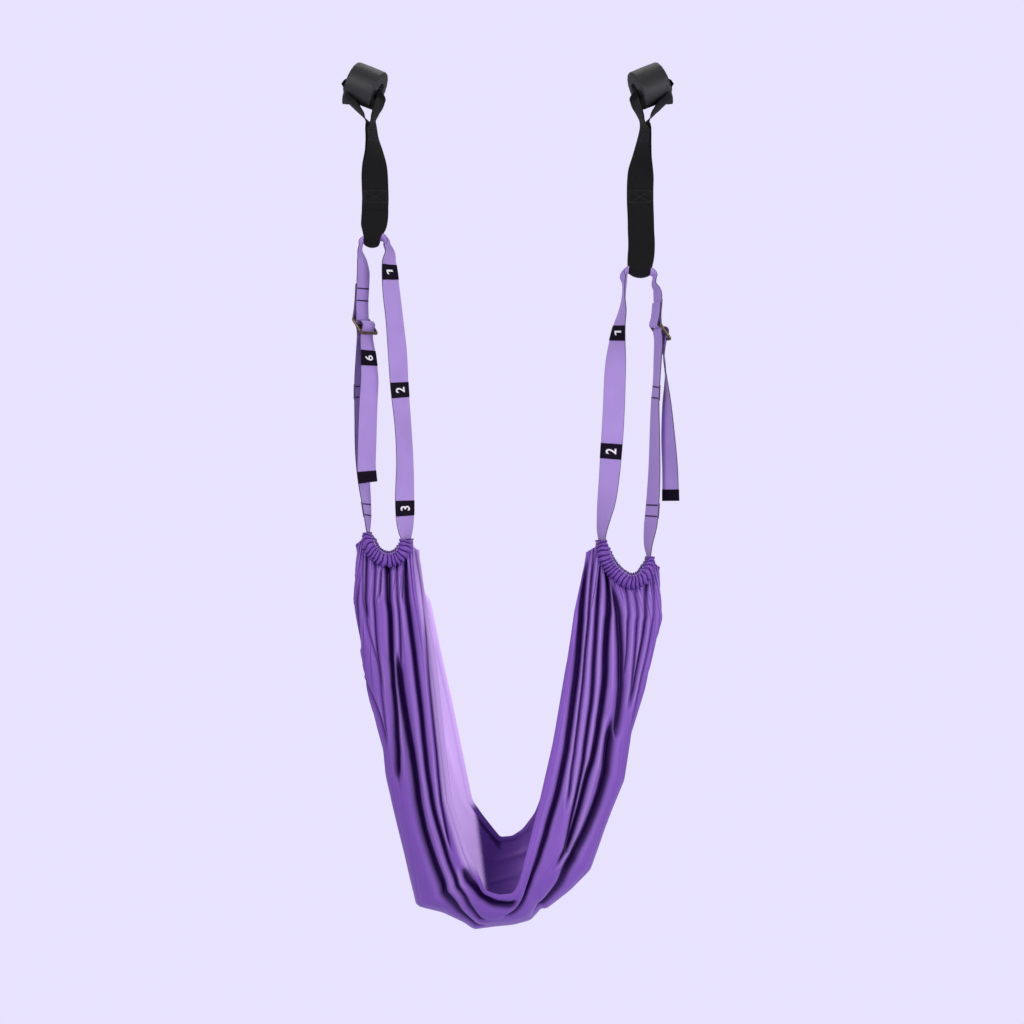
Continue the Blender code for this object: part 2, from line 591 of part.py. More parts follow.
def add_buckle(name, side, run, ends):
    """The three-bar buckle, the sewn end round its top bar and the bight over its middle bar."""
    place = np.array(side["buckle"]) * (side["mirror"], 1.0, 1.0)
    pivot = add_pivot(f"{name}_buckle_slide_point", place)
    forward, drop = lean(side)
    wide, _, _ = buckle_frame(side)
    turn = side["buckle_turn"]
    corner = 4.0
    outline = []
    for sign_across, sign_drop, begin in ((1, 1, 0), (-1, 1, 90), (-1, -1, 180), (1, -1, 270)):
        for angle in np.radians(np.linspace(begin, begin + 90, 4)):
            across = sign_across * (BUCKLE_HALF_WIDTH - corner) + corner * math.cos(angle)
            high = sign_drop * (BAR_SPACING - corner) + corner * math.sin(angle)
            share = high / BAR_SPACING
            outline.append(at_buckle(side, forward * share, drop * share, across))
    flat = np.cross(wide, unit(np.array(at_buckle(side, forward, drop)) - side["buckle"]))
    frame = add_rod(f"{name}_buckle", outline, flat, BAR_RADIUS, side, pivot, closed=True)
    bar_ends = [at_buckle(side, 0, 0, reach) for reach in (-BUCKLE_HALF_WIDTH, BUCKLE_HALF_WIDTH)]
    bar = add_rod(f"{name}_buckle_middle_bar", bar_ends, flat, BAR_RADIUS * 0.9, side, pivot)
    bar.hide_render = True
    bar.display_type = "WIRE"
    joined = frame.modifiers.new("Middle bar", "BOOLEAN")
    joined.operation = "UNION"
    joined.solver = "EXACT"
    joined.object = bar

    layer = (PURPLE_THICK + GAP) / 2
    around = BAR_RADIUS + GAP + PURPLE_THICK / 2 + 0.2
    top_forward, top_up = -forward, -drop
    x, y, z = side["wrap_top"]
    _, front, _ = buckle_frame(side)
    bar_place = at_buckle(side, top_forward, top_up)
    top_place = np.array([x, y, z])
    wrap = []
    for share, stand in ((1.0, layer), (0.75, layer), (0.5, layer), (0.28, layer * 1.6)):
        wrap.append(row(*(bar_place + (top_place - bar_place) * share + front * (stand - layer * share)), turn))
    for angle in np.radians(np.linspace(0, 180, 6)):
        wrap.append(row(*(bar_place + front * around * math.cos(angle) + Vector((0, 0, -around * math.sin(angle)))), turn))
    for share, stand in ((0.28, layer * 1.6), (0.5, layer), (0.75, layer), (0.9, layer)):
        wrap.append(row(*(bar_place + (top_place - bar_place) * share - front * (stand + layer * share)), turn))
    wrap_run = smooth(wrap, 1)
    add_webbing(
        f"{name}_sewn_end", wrap_run, (0, lengths_along(wrap_run)[-1]), side, "purple_webbing", pivot, 2)
    face = 1 if side["fold"] > 0 else -1
    add_box_stitch(
        f"{name}_sewn_end_stitches", wrap_run, 5, 26, face, PURPLE_WIDTH, PURPLE_THICK,
        "purple_thread", side, pivot)
    span = (ends[2] + CUT_GAP / 2, ends[3] - TAIL_GAP)
    add_webbing(f"{name}_threaded_bight", run, span, side, "purple_webbing", pivot, 2)


def add_rod(name, points, flat, radius, side, pivot, closed=False):
    """A round bar along points that lie in one plane, whose normal is `flat`."""
    points = np.array(points)
    if closed:
        tangent = unit(np.roll(points, -1, axis=0) - np.roll(points, 1, axis=0))
    else:
        tangent = unit(np.gradient(points, axis=0))
    outward = np.cross(tangent, flat)
    angle = np.linspace(0, 2 * math.pi, ROD_SIDES, endpoint=False)[None, :, None]
    rings = points[:, None] + radius * (np.cos(angle) * outward[:, None] + np.sin(angle) * flat)
    if closed:
        rings = np.concatenate([rings, rings[:1]])
    count = len(rings)
    places = rings.reshape(-1, 3) * METRE * (side["mirror"], 1.0, 1.0) - np.array(pivot.location)
    faces = grid_faces(count, ROD_SIDES, ring=True)
    if not closed:
        faces += [list(range(ROD_SIDES)), list(range((count - 1) * ROD_SIDES, count * ROD_SIDES))]
    mesh = bpy.data.meshes.new(name)
    mesh.from_pydata(places.tolist(), [], faces)
    shape = bmesh.new()
    shape.from_mesh(mesh)
    bmesh.ops.remove_doubles(shape, verts=shape.verts, dist=1e-6)
    bmesh.ops.recalc_face_normals(shape, faces=shape.faces)
    shape.to_mesh(mesh)
    shape.free()
    return add_object(name, mesh, "buckle_metal", pivot)


def add_tail(name, side, run, ends, spot):
    """The loose tail with its number label and the tape folded over its end."""
    along = lengths_along(run)
    top = rows_at(run, along, [ends[3]])[0, :3]
    pivot = add_pivot(f"{name}_tail_pivot", top * (side["mirror"], 1.0, 1.0))
    add_webbing(f"{name}_tail", run, (ends[3] + TAIL_GAP, ends[4]), side, "purple_webbing", pivot)
    add_label(f"{name}_label_6", run, spot, side, pivot)
    stand = PURPLE_THICK / 2 + GAP + LABEL_THICK / 2 + 0.15
    width = PURPLE_WIDTH + 1.0
    near, far = (
        cut_rows(strap_surface(run, width, 2, lift), along, ends[4] - TAB_LENGTH, ends[4])
        for lift in (stand, -stand)
    )
    tangent, _, facing = frames(run)
    end = strap_surface(run, width, 2)[-1]
    fold = [
        end + facing[-1] * stand * math.cos(angle) + tangent[-1] * stand * math.sin(angle)
        for angle in np.radians((45, 90, 135))
    ]
    tab = np.concatenate([near, fold, far[::-1]])
    add_sheets(f"{name}_tail_tab", [tab], LABEL_THICK, "label", side, pivot)


def casing_run(run, side, count):
    """Evenly spaced rows of the stretch that the casing covers."""
    along = lengths_along(run)
    start, end = (
        along[np.argmin(np.linalg.norm(run[:, :3] - np.array(side["bend"][pick][:3]), axis=1))]
        for pick in (0, -1)
    )
    return rows_at(run, along, np.linspace(start, end, count))


def add_casing(name, run, side, pivot):
    """The gathered fabric tube round the bend of the webbing, and the seam along it."""
    count = 2 * CASING_RUFFLES + 1
    path = casing_run(run, side, count)
    _, wide, facing = frames(path)
    angle = np.linspace(0, 2 * math.pi, 10, endpoint=False) + math.pi / 10
    swell = np.where(np.arange(count) % 2, CASING_RUFFLE, -CASING_RUFFLE)[:, None]
    square = 0.75
    flat = np.sign(np.cos(angle)) * np.abs(np.cos(angle)) ** square
    tall = np.sign(np.sin(angle)) * np.abs(np.sin(angle)) ** square
    deep = (CASING_HALF_DEPTH + swell) * flat
    high = (CASING_HALF_TALL + swell) * tall
    ring = path[:, None, :3] + deep[..., None] * wide[:, None] + high[..., None] * facing[:, None]
    add_sheets(f"{name}_casing", [ring], CASING_WALL, "hammock_fabric", side, pivot, ring=True)
    stand = CASING_HALF_DEPTH + CASING_RUFFLE + CASING_WALL / 2 + 0.9
    line = (path[1:-1, :3] - wide[1:-1] * stand + facing[1:-1] * 3.0)
    edge = facing[1:-1] * STITCH_WIDE / 2
    seam = np.stack([line - edge, line + edge], axis=1)
    add_sheets(f"{name}_casing_stitches", [seam], STITCH_THICK, "purple_thread", side, pivot)
    return path, facing


def top_edge(path, facing, side, count):
    """The hammock's top edge: round below the casing, and out to a corner at both its ends."""
    below = facing[:, 2] < -0.25
    stand = CASING_HALF_TALL + CASING_RUFFLE + (CASING_WALL + PANEL_THICK) / 2 + 2.0
    rim = (path[:, :3] + facing * stand)[below]
    (near_x, near_z), (far_x, far_z) = side["corners"]
    line = np.concatenate([[(near_x, 0, near_z)], rim, [(far_x, 0, far_z)]])
    along = lengths_along(line)
    points = rows_at(line, along, np.linspace(0, along[-1], count))
    return points * (side["mirror"], 1.0, 1.0)


def ease(share):
    """0 to 1 with level ends."""
    share = np.clip(share, 0.0, 1.0)
    return share * share * (3 - 2 * share)


def hammock_surface(tops, across, along):
    """The hammock's middle surface: a trough hung from both casings and folded lengthwise.

    `across` runs from the near hem to the far one and `along` from the left casing to the right.
    """
    table = np.array([[v, *outer, *near, *far, forward, back, share]
                      for v, outer, near, far, forward, back, share in HAMMOCK])
    knots = table[:, 0]
    slopes = np.gradient(table, knots, axis=0)
    cell = np.clip(np.searchsorted(knots, along, side="right") - 1, 0, len(knots) - 2)
    gap = (knots[cell + 1] - knots[cell])[:, None]
    step = (along[:, None] - knots[cell][:, None]) / gap
    guide = (
        table[cell] * (2 * step**3 - 3 * step**2 + 1) + slopes[cell] * gap * (step**3 - 2 * step**2 + step)
        + table[cell + 1] * (3 * step**2 - 2 * step**3) + slopes[cell + 1] * gap * (step**3 - step**2)
    )
    _, ox, oz, nx, nz, fx, fz, forward, back, share = (column[:, None] for column in guide.T)
    share = np.clip(share, 0.05, 0.995)
    u = across[None, :]
    near_side = u <= share
    reach = np.where(near_side, (share - u) / share, (u - share) / (1 - share)) ** 0.8
    rise, stand = 1 - np.cos(reach * math.pi / 2), np.sin(reach * math.pi / 2)
    x = ox + (np.where(near_side, nx, fx) - ox) * rise
    z = oz + (np.where(near_side, nz, fz) - oz) * rise
    y = np.where(near_side, -forward, back) * stand
    trough = np.stack([x, y, z], axis=-1)
    left = 1 - ease(along / GATHER_END)
    right = 1 - ease((1 - along) / GATHER_END)
    body = 1 - left - right
    return (
        trough * body[:, None, None] + tops[0][None] * left[:, None, None] + tops[1][None] * right[:, None, None]
    )


def fold_depth(across, along):
    """How far the folds stand off: even on the near side, less on the far side, none at a hem."""
    hem = np.minimum(1.0, np.minimum(across, 1 - across) * 8)
    length = 3.0 + 2.0 * np.sin(math.pi * along) ** 0.5
    return length[:, None] * hem[None, :]


def surface_normals(surface):
    """Unit normals of a point grid."""
    down, over = np.gradient(surface, axis=0), np.gradient(surface, axis=1)
    return unit(np.cross(down, over))


def add_hammock(tops, pivot):
    """The hammock panel with its main folds, and the hems along its two long edges."""
    step = np.linspace(0, 1, PANEL_ROWS + 1)
    along = step - 0.45 * np.sin(2 * math.pi * step) / (2 * math.pi)
    across = np.linspace(0, 1, PANEL_COLUMNS + 1)
    surface = hammock_surface(tops, across, along)
    normals = surface_normals(surface)
    normals[[0, -1]] = np.sign(normals[[1, -2], PANEL_COLUMNS // 2, 1])[:, None, None] * np.array([0, 1, 0])
    zigzag = np.where(np.arange(PANEL_COLUMNS + 1) % 2, 1.0, -1.0)
    folded = surface + normals * (fold_depth(across, along) * zigzag)[..., None]
    add_sheets("hammock_panel", [folded], PANEL_THICK, "hammock_fabric", pivot=pivot)
    for name, edge, inner in (("front_hem", 0, 1), ("rear_hem", -1, -2)):
        line, inside = surface[:, edge], surface[:, inner]
        outward = unit(line - inside)
        begin = line + outward * (PANEL_THICK * 0.5 + GAP)
        grid = np.stack([begin, begin + outward * HEM_WIDTH], axis=1)[2:-2]
        add_sheets(name, [grid], HEM_THICK, "hammock_fabric", pivot=pivot)


def saddle_middle():
    """The point midway between the two saddles, on the axis that the sling swings on."""
    left, right = (np.array(side["saddle"]) * (side["mirror"], 1.0, 1.0) for side in SIDES.values())
    return (left + right) / 2


def build():
    """Everything, from the door anchors down."""
    for obj in list(bpy.data.objects):
        bpy.data.objects.remove(obj)
    roots = add_pivot("door_top", (0, 0, 0))
    swing = add_pivot("door_edge_axis", (0, 0, DOOR_EDGE_Z))
    sling = add_pivot("sling_axis", saddle_middle())
    tops = []
    for name, side in SIDES.items():
        add_roller(name, side)
        add_anchor(name, side, roots, swing)
        run, ends, spots = strap_run(side)
        add_loop(name, side, run, ends, spots, sling)
        add_buckle(name, side, run, ends)
        add_tail(name, side, run, ends, spots[5])
        path, facing = add_casing(name, run, side, sling)
        tops.append(top_edge(path, facing, side, PANEL_COLUMNS + 1))
    add_hammock(tops, sling)


build()
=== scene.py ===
"""Aerial yoga door strap: webbing, rollers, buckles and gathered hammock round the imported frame.

The shape tables and the shape functions are in millimetres, with +Z up and -Y at the front, and
become metres when a mesh is made. Each half of the strap is written once as the left one, with X
negative, and the right half's X is turned round when its meshes are made.
"""

import math
from functools import lru_cache

import bpy
import numpy as np
from bpy.props import FloatProperty, FloatVectorProperty, IntProperty, PointerProperty
from bpy.types import Operator, Panel, PropertyGroup
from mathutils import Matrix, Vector


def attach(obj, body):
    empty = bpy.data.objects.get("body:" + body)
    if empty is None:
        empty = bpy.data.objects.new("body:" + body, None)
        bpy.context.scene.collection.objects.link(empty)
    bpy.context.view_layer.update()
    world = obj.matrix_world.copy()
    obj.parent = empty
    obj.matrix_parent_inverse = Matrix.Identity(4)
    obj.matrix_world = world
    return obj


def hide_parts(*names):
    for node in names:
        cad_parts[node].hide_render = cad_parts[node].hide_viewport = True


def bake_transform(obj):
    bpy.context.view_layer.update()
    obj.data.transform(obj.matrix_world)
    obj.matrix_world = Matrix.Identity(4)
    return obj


bl_info = {
    "name": "Aerial Yoga Door Strap",
    "version": (1, 0, 0),
    "blender": (4, 5, 0),
    "location": "View3D > Sidebar > Door Strap",
    "description": "Webbing, rollers, buckles and gathered hammock of an aerial yoga door strap",
    "category": "Object",
}

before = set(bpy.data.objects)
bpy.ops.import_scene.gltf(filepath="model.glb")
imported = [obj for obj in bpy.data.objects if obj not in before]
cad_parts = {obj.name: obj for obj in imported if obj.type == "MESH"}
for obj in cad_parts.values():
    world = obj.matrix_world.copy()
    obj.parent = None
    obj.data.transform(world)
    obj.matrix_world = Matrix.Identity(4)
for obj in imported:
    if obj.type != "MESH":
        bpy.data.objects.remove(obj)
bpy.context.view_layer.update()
MM = 0.001

# Shapes shared with the part's source
FINE = 8
LAYER_GAP, LABEL_PITCH, TAB_LENGTH = 0.6, 200.0, 18.0
ROLLER_SLOPE, ROLLER_YAW = 23.0, 15.0
CORE_RADIUS, BORE_CURL = 17.5, 3.6
DOOR_EDGE_Z = -115.0
LOOP_RADIUS, SADDLE_RADIUS = 15.8, 12.2
SADDLE_BEND, SADDLE_LIFT = 4.0, 2.4
BAR_RADIUS, BAR_SPACING, BUCKLE_LEAN, BUCKLE_HALF_WIDTH, BIGHT_DROP = 2.0, 15.0, 36.0, 23.5, 17.0
CASING_HALF_DEPTH, CASING_INNER, CASING_OUTER, TOP_EDGE_STAND = 23.5, 11.0, 14.0, 8.0
HEM_WIDTH, HEM_THICK = 9.0, 3.2

# How finely the round pieces are cut, and sizes that only the scene has
ROLLER_SIDES, ROD_SIDES, CASING_SIDES, HEM_SIDES = 120, 20, 56, 16
CLOTH_GRID = 200, 236
CASING_LENGTH, MOUTH, RIDGE = 135.0, 0.16, 3.0
FLOOR_REACH, FLOOR_Z = 4000.0, -1950.0

# Length and pitch of the stitches in a bar
BAR_STITCH = (1.9, 1.3)

# The runs of webbing, as (X, Y, Z, turn, curl) of their stations, with a curl of 0 left out
SIDES = {
    "left": {
        "mirror": 1.0,
        "roller": (-239.0, 0.0, 56.0),
        "strap_top": (
            (-230, -14, 70), (-228, -32, 66), (-225, -56, 50), (-224, -79, 26), (-223.5, -100, 8),
        ),
        "strap_hinge_x": -223.0,
        "strap_low": ((-222.5, -135, 0), (-223, -152, 0)),
        "saddle": (-228.0, 0.0, -201.0),
        "saddle_slope": -6.4,
        "saddle_reach": (11.0, 17.5, 7.0),
        "loop_shares": (1.0, 1.0, 0.94, 0.76, 0.56),
        "buckle": (-240.0, -6.0, -350.0),
        "buckle_turn": 58.0,
        "fold": 1.0,
        "sewn_rows": (14.5, 35.0),
        "wrap_top": (-243.0, -4.0, -272.0),
        "adjuster": ((-242.3, -3, -256, 59, 0.15), (-242.6, -1, -238, 67, 0.6)),
        "front_run": (
            (-202, -3, -226, 66, 1.2), (-200.8, -5, -240, 55, 0.5), (-197.8, -8, -268, 45, 0.1),
            (-195, -9, -296, 41),
            (-190, -9, -340, 40), (-185, -10, -395, 34), (-181.5, -10, -455, 38),
            (-175.5, -9, -520, 44), (-172.5, -7, -580, 42), (-173, -5, -640, 34),
            (-172.5, -4, -672, 38), (-171.5, -2, -694, 50),
        ),
        "bend": (
            (-171, -1, -709, 66), (-175, 0, -725, 86), (-187, 0, -738.5, 90),
            (-204, 0, -742, 90), (-220.5, 0, -733.5, 90), (-231, 0, -717, 90),
            (-234.5, 0, -698, 84),
        ),
        "back_run": (
            (-235.5, 1, -676, 75), (-237.5, 3, -652, 69), (-241.5, 5, -617, 61),
            (-246, 6, -570, 59), (-247.8, 6, -500, 60), (-247.8, 5, -441, 60),
        ),
        "first_label_z": -259.0,
        "label_steps": (0.0, 1.0, 2.0, 3.0, 4.0),
        "tail": (
            (-234, -12, -404, 48), (-232, -15, -440, 40), (-234, -17, -480, 37),
            (-236, -19, -542, 36), (-237, -19, -590, 36), (-235, -18, -613, 36),
        ),
        "tail_label_z": -404.0,
        "corners": ((-149, -730), (-256, -720)),
    },
    "right": {
        "mirror": -1.0,
        "roller": (-241.0, 0.0, 56.0),
        "strap_top": (
            (-234, -16, 70), (-231, -42, 60), (-228, -66, 46), (-226, -87, 24), (-225.5, -102, 9),
        ),
        "strap_hinge_x": -225.0,
        "strap_low": ((-225, -140, 8), (-226, -165, 12), (-226.5, -190, 10)),
        "saddle": (-224.0, 0.0, -252.0),
        "saddle_slope": 6.4,
        "saddle_reach": (20.5, 16.5, 0.0),
        "loop_shares": (1.0, 1.0, 1.0, 0.97, 0.84),
        "buckle": (-259.0, -2.0, -360.0),
        "buckle_turn": 70.0,
        "fold": -1.0,
        "sewn_rows": (9.0, 24.0),
        "wrap_top": (-255.5, -2.0, -306.0),
        "adjuster": ((-252.5, -1, -291, 71, 0.3),),
        "front_run": (
            (-201.5, -1, -276, 84, 1.0), (-199, -2, -300, 84, 0.5), (-196, -3, -324, 72, 0.2),
            (-190.5, -5, -348, 60, 0.1),
            (-186.5, -7, -375, 46), (-183, -9, -422, 22), (-180, -10, -497, 14),
            (-176, -9, -562, 17), (-171.5, -7, -617, 28), (-167.5, -5, -650, 38),
            (-163, -3, -676, 54), (-160.5, -1, -694, 64),
        ),
        "bend": (
            (-160.5, 0, -711, 74), (-164, 0, -729, 86), (-172.5, 0, -749, 90),
            (-188, 0, -768, 90), (-208, 0, -779, 90), (-226, 0, -774, 90),
            (-237, 0, -758, 90), (-239.5, 0, -739, 82),
        ),
        "back_run": (
            (-239, 1, -719, 70), (-242.5, 3, -690, 57), (-245.5, 4, -660, 56),
            (-249, 5, -600, 60), (-250, 5, -530, 66), (-250.5, 4, -480, 71), (-253, 2, -441, 74),
        ),
        "first_label_z": -362.0,
        "label_steps": (0.0, 1.0, 2.0, 2.872, 3.872),
        "tail": (
            (-266, -2, -404, 93), (-268, -4, -430, 90), (-271, -8, -480, 70, 0.3),
            (-274, -9, -540, 54, 0.5), (-276.5, -9, -590, 48, 0.4), (-277, -9, -644, 45, 0.2),
        ),
        "tail_label_z": -414.0,
        "corners": ((-134, -733), (-259, -758)),
    },
}

# The strap round the roller, as (X, Y, Z, turn, curl) from the roller's middle
STRAP_UP = (
    (3.5, 1, -61, 82), (-4, 0, -51, 92), (-12, -3, -42, 102, -0.3), (-23, -5, -32, 110, -0.8),
    (-33, -4, -24.5, 111, -1.0), (-37.5, 0, -17, 100, -0.7), (-36, 6, -9, 84, 0.0),
)
STRAP_DOWN = (
    (22, -8.5, -26, 73, 0.7), (21.5, -8.5, -34, 70, 0.1), (19, -7, -43, 74), (15.5, -4, -52, 80),
    (12, -2, -61, 82),
)

# The opening of the black strap's bottom loop, as (height over the saddle, half its depth, share
# of the saddle's place and tilt, curl)
OPENING = (
    (46, 3.4, 0.3, 0.0), (32, 8.6, 0.6, -0.2), (19, 13.6, 0.9, -0.5), (8, LOOP_RADIUS, 1.0, -0.8),
)

# A woven figure 1 with its flag, in shares of its height
FIGURE_ONE = (
    (-0.03, -0.5), (0.15, -0.5), (0.15, 0.5), (0.0, 0.5), (-0.27, 0.31), (-0.27, 0.12),
    (-0.03, 0.26),
)

# Guides of the hammock, as (share of the way from the left casing to the right one, X, Z): the
# outer fold line of the trough, its near rim and its far rim, seen from the front.
OUTER_LINE = (
    (0.000, -256, -768), (0.056, -258, -813), (0.110, -247, -897), (0.150, -237, -957),
    (0.180, -222, -1009), (0.220, -206, -1066), (0.250, -202, -1108), (0.278, -193, -1151),
    (0.333, -171, -1238), (0.385, -151, -1327), (0.405, -108, -1337), (0.430, -72, -1354),
    (0.445, -55, -1366), (0.475, -22, -1361), (0.505, 10, -1358), (0.530, 38, -1351),
    (0.550, 56, -1331), (0.566, 66, -1331), (0.585, 104, -1301), (0.615, 138, -1267),
    (0.645, 152, -1229), (0.690, 173, -1170), (0.730, 195, -1116), (0.765, 203, -1065),
    (0.790, 208, -1036), (0.833, 230, -963), (0.890, 247, -890), (0.944, 260, -842),
    (1.000, 264, -806),
)
NEAR_RIM = (
    (0.000, -147, -768), (0.056, -137, -813), (0.110, -122, -897), (0.167, -112, -982),
    (0.222, -103, -1066), (0.278, -93, -1151), (0.333, -67, -1232), (0.389, -46, -1276),
    (0.420, -36, -1299), (0.460, -12, -1306), (0.495, 11, -1303), (0.520, 20, -1286),
    (0.556, 29, -1252), (0.611, 44, -1195), (0.650, 55, -1150), (0.722, 77, -1055),
    (0.833, 97, -945), (0.890, 107, -882), (0.944, 114, -832), (1.000, 124, -797),
)
FAR_RIM = (
    (0.000, -256, -768), (0.030, -165, -778), (0.056, -132, -806), (0.110, -112, -905),
    (0.167, -94, -985), (0.240, -71, -1100), (0.280, -60, -1155), (0.333, -42, -1181),
    (0.389, -24, -1204), (0.430, -11, -1220), (0.470, 10, -1218), (0.510, 27, -1206),
    (0.556, 46, -1180), (0.611, 58, -1150), (0.722, 80, -1050), (0.833, 100, -930),
    (0.890, 112, -870), (0.944, 190, -860), (1.000, 262, -806),
)

# How far each rim stands forward and back, and the share of the cloth's width on the near side
DEPTHS = (
    (0.000, 20, 0, 1.00), (0.040, 25, 20, 0.93), (0.110, 32, 34, 0.81), (0.167, 38, 40, 0.76),
    (0.278, 52, 56, 0.68), (0.333, 60, 66, 0.64), (0.389, 72, 80, 0.60), (0.444, 80, 90, 0.57),
    (0.500, 84, 94, 0.55), (0.556, 80, 90, 0.57), (0.611, 70, 80, 0.60), (0.722, 54, 58, 0.66),
    (0.833, 40, 42, 0.74), (0.890, 33, 35, 0.81), (0.950, 26, 22, 0.91), (1.000, 20, 0, 1.00),
)
GATHER_END = 0.06

# Valleys between the folds of the near side: depth, half width, how much of the cloth's length
# each end takes to fade, and the line that the valley follows, as (X, Z) seen from the front.
VALLEYS = (
    (5, 4, 0.03, ((-245, -741), (-245, -777), (-242, -823), (-236, -859), (-226, -889),
        (-218, -916), (-215, -943), (-210, -980), (-206, -1024))),
    (6, 5, 0.03, ((-254, -813), (-249, -880), (-244, -928), (-238, -949), (-229, -973),
        (-215, -1004), (-207, -1038))),
    (7, 5, 0.02, ((-238, -745), (-239, -798), (-237, -835))),
    (6, 4, 0.03, ((-223, -745), (-224, -798), (-223, -843), (-220, -889), (-213, -940))),
    (6, 3.2, 0.01, ((-214, -766), (-213, -784), (-213, -799))),
    (11, 6, 0.03, ((-204, -742), (-200, -798), (-197, -847), (-196, -889), (-194, -935),
        (-192, -965), (-191, -982))),
    (11, 7, 0.03, ((-195, -914), (-193, -940), (-188, -1009), (-187, -1049), (-185, -1090))),
    (6, 3.2, 0.01, ((-177, -769), (-176, -789), (-175, -808))),
    (6, 4, 0.03, ((-188, -749), (-184, -796), (-181, -847), (-179, -897), (-180, -931))),
    (13, 8, 0.04, ((-182, -940), (-177, -980), (-170, -1024), (-162, -1070), (-155, -1109),
        (-151, -1153), (-140, -1205), (-127, -1244), (-112, -1283), (-93, -1322), (-70, -1347))),
    (10, 6, 0.03, ((-172, -754), (-170, -798), (-164, -847), (-158, -889), (-153, -935),
        (-149, -965), (-144, -1009), (-140, -1055), (-134, -1104), (-124, -1166), (-114, -1200),
        (-106, -1227))),
    (7, 4, 0.03, ((-155, -738), (-146, -768), (-141, -804), (-137, -847), (-134, -904),
        (-131, -949), (-126, -995), (-122, -1039), (-117, -1085), (-111, -1151), (-101, -1205))),
    (9, 6, 0.02, ((-108, -1222), (-100, -1249), (-88, -1276), (-78, -1300), (-65, -1321),
        (-49, -1347))),
    (12, 8, 0.02, ((-69, -1273), (-52, -1296), (-32, -1315), (-12, -1323), (7, -1323))),
    (11, 7, 0.03, ((128, -768), (127, -813), (123, -859), (119, -919), (113, -965), (106, -1024),
        (100, -1063), (93, -1101), (80, -1153), (65, -1205), (47, -1264), (26, -1321),
        (12, -1338))),
    (7, 4, 0.03, ((143, -768), (140, -813), (136, -859), (131, -904), (128, -949), (121, -1009),
        (113, -1070), (105, -1134))),
    (9, 5, 0.03, ((155, -777), (152, -823), (149, -874), (146, -919), (143, -980), (134, -1039),
        (127, -1092), (119, -1134), (111, -1168), (104, -1198), (98, -1235))),
    (12, 6.5, 0.03, ((172, -788), (170, -847), (166, -889), (166, -935), (161, -980),
        (155, -1024), (146, -1075), (135, -1109), (127, -1144), (117, -1179), (106, -1215))),
    (10, 8, 0.03, ((184, -813), (189, -855), (192, -919), (191, -980), (186, -1022))),
    (14, 9, 0.05, ((173, -1050), (169, -1070), (166, -1102), (153, -1153), (135, -1200),
        (114, -1235), (95, -1273), (80, -1308))),
    (6, 4, 0.02, ((203, -796), (204, -830), (203, -880), (199, -931))),
    (6, 4, 0.03, ((220, -813), (219, -859), (216, -904), (210, -965))),
    (7, 4.5, 0.03, ((235, -771), (234, -823), (231, -870), (221, -919), (213, -964))),
    (5, 4, 0.03, ((250, -796), (247, -838), (240, -889), (225, -949), (213, -1009))),
)


def length_property(name, description, default, least=-10.0):
    """A length that a user would change, in metres."""
    return FloatProperty(
        name=name, description=description, default=default, min=least, subtype="DISTANCE",
        unit="LENGTH")


def colour_property(name, description, *default):
    """A colour that a user would change."""
    return FloatVectorProperty(
        name=name, description=description, default=(*default, 1.0), min=0.0, max=1.0, size=4,
        subtype="COLOR")


class StrapSizes(PropertyGroup):
    """Sizes that a user would change."""

    purple_width: length_property("Purple Width", "Width of the numbered webbing", 0.038, 0.02)
    purple_thick: length_property(
        "Purple Thickness", "Thickness of the numbered webbing", 0.0018, 0.0005)
    black_width: length_property("Black Width", "Width of the door anchors' webbing", 0.045, 0.02)
    black_thick: length_property(
        "Black Thickness", "Thickness of the door anchors' webbing", 0.002, 0.0005)
    label_length: length_property(
        "Label Length", "Length of a number label along the webbing", 0.026, 0.01)
    digit_height: length_property("Digit Height", "Height of the number on a label", 0.0185, 0.005)
    roller_radius: length_property(
        "Roller Radius", "Radius of a door anchor's foam roller", 0.034, 0.02)
    roller_length: length_property(
        "Roller Length", "Length of a door anchor's foam roller", 0.052, 0.02)
    cloth_thick: length_property(
        "Cloth Thickness", "Thickness of the hammock's cloth", 0.0009, 0.0002)
    stitch_length: length_property("Stitch Length", "Length of one stitch", 0.0028, 0.001)
    ruffles: IntProperty(name="Ruffles", description="Ruffles along one casing", default=21, min=4)


class StrapColours(PropertyGroup):
    """Colours that a user would change."""

    webbing: colour_property("Purple Webbing", "Colour of the numbered webbing", 0.41, 0.27, 0.66)
    cloth: colour_property("Hammock Cloth", "Colour of the cloth on its folds", 0.205, 0.086, 0.43)
    # Painted shade: the colour that the cloth is painted with deep in its folds, where shade falls
    cloth_valley: colour_property(
        "Cloth Valleys", "Colour deep between the folds", 0.013, 0.001, 0.05)
    # Painted light: the colour of light shining through one layer of cloth, also painted as
    # highlights on ridges and along the near hem
    cloth_thin: colour_property(
        "Single Cloth", "Colour where light shines through one layer of cloth", 0.55, 0.37, 0.74)
    black: colour_property(
        "Black Webbing", "Colour of the door anchors' webbing", 0.0068, 0.0066, 0.0072)
    roller: colour_property("Roller Cover", "Colour of the rollers' fabric", 0.017, 0.016, 0.018)
    metal: colour_property("Buckle Metal", "Colour of the buckles", 0.11, 0.08, 0.052)
    backdrop: colour_property(
        "Backdrop", "Colour of the background and the floor", 0.812, 0.768, 0.984)


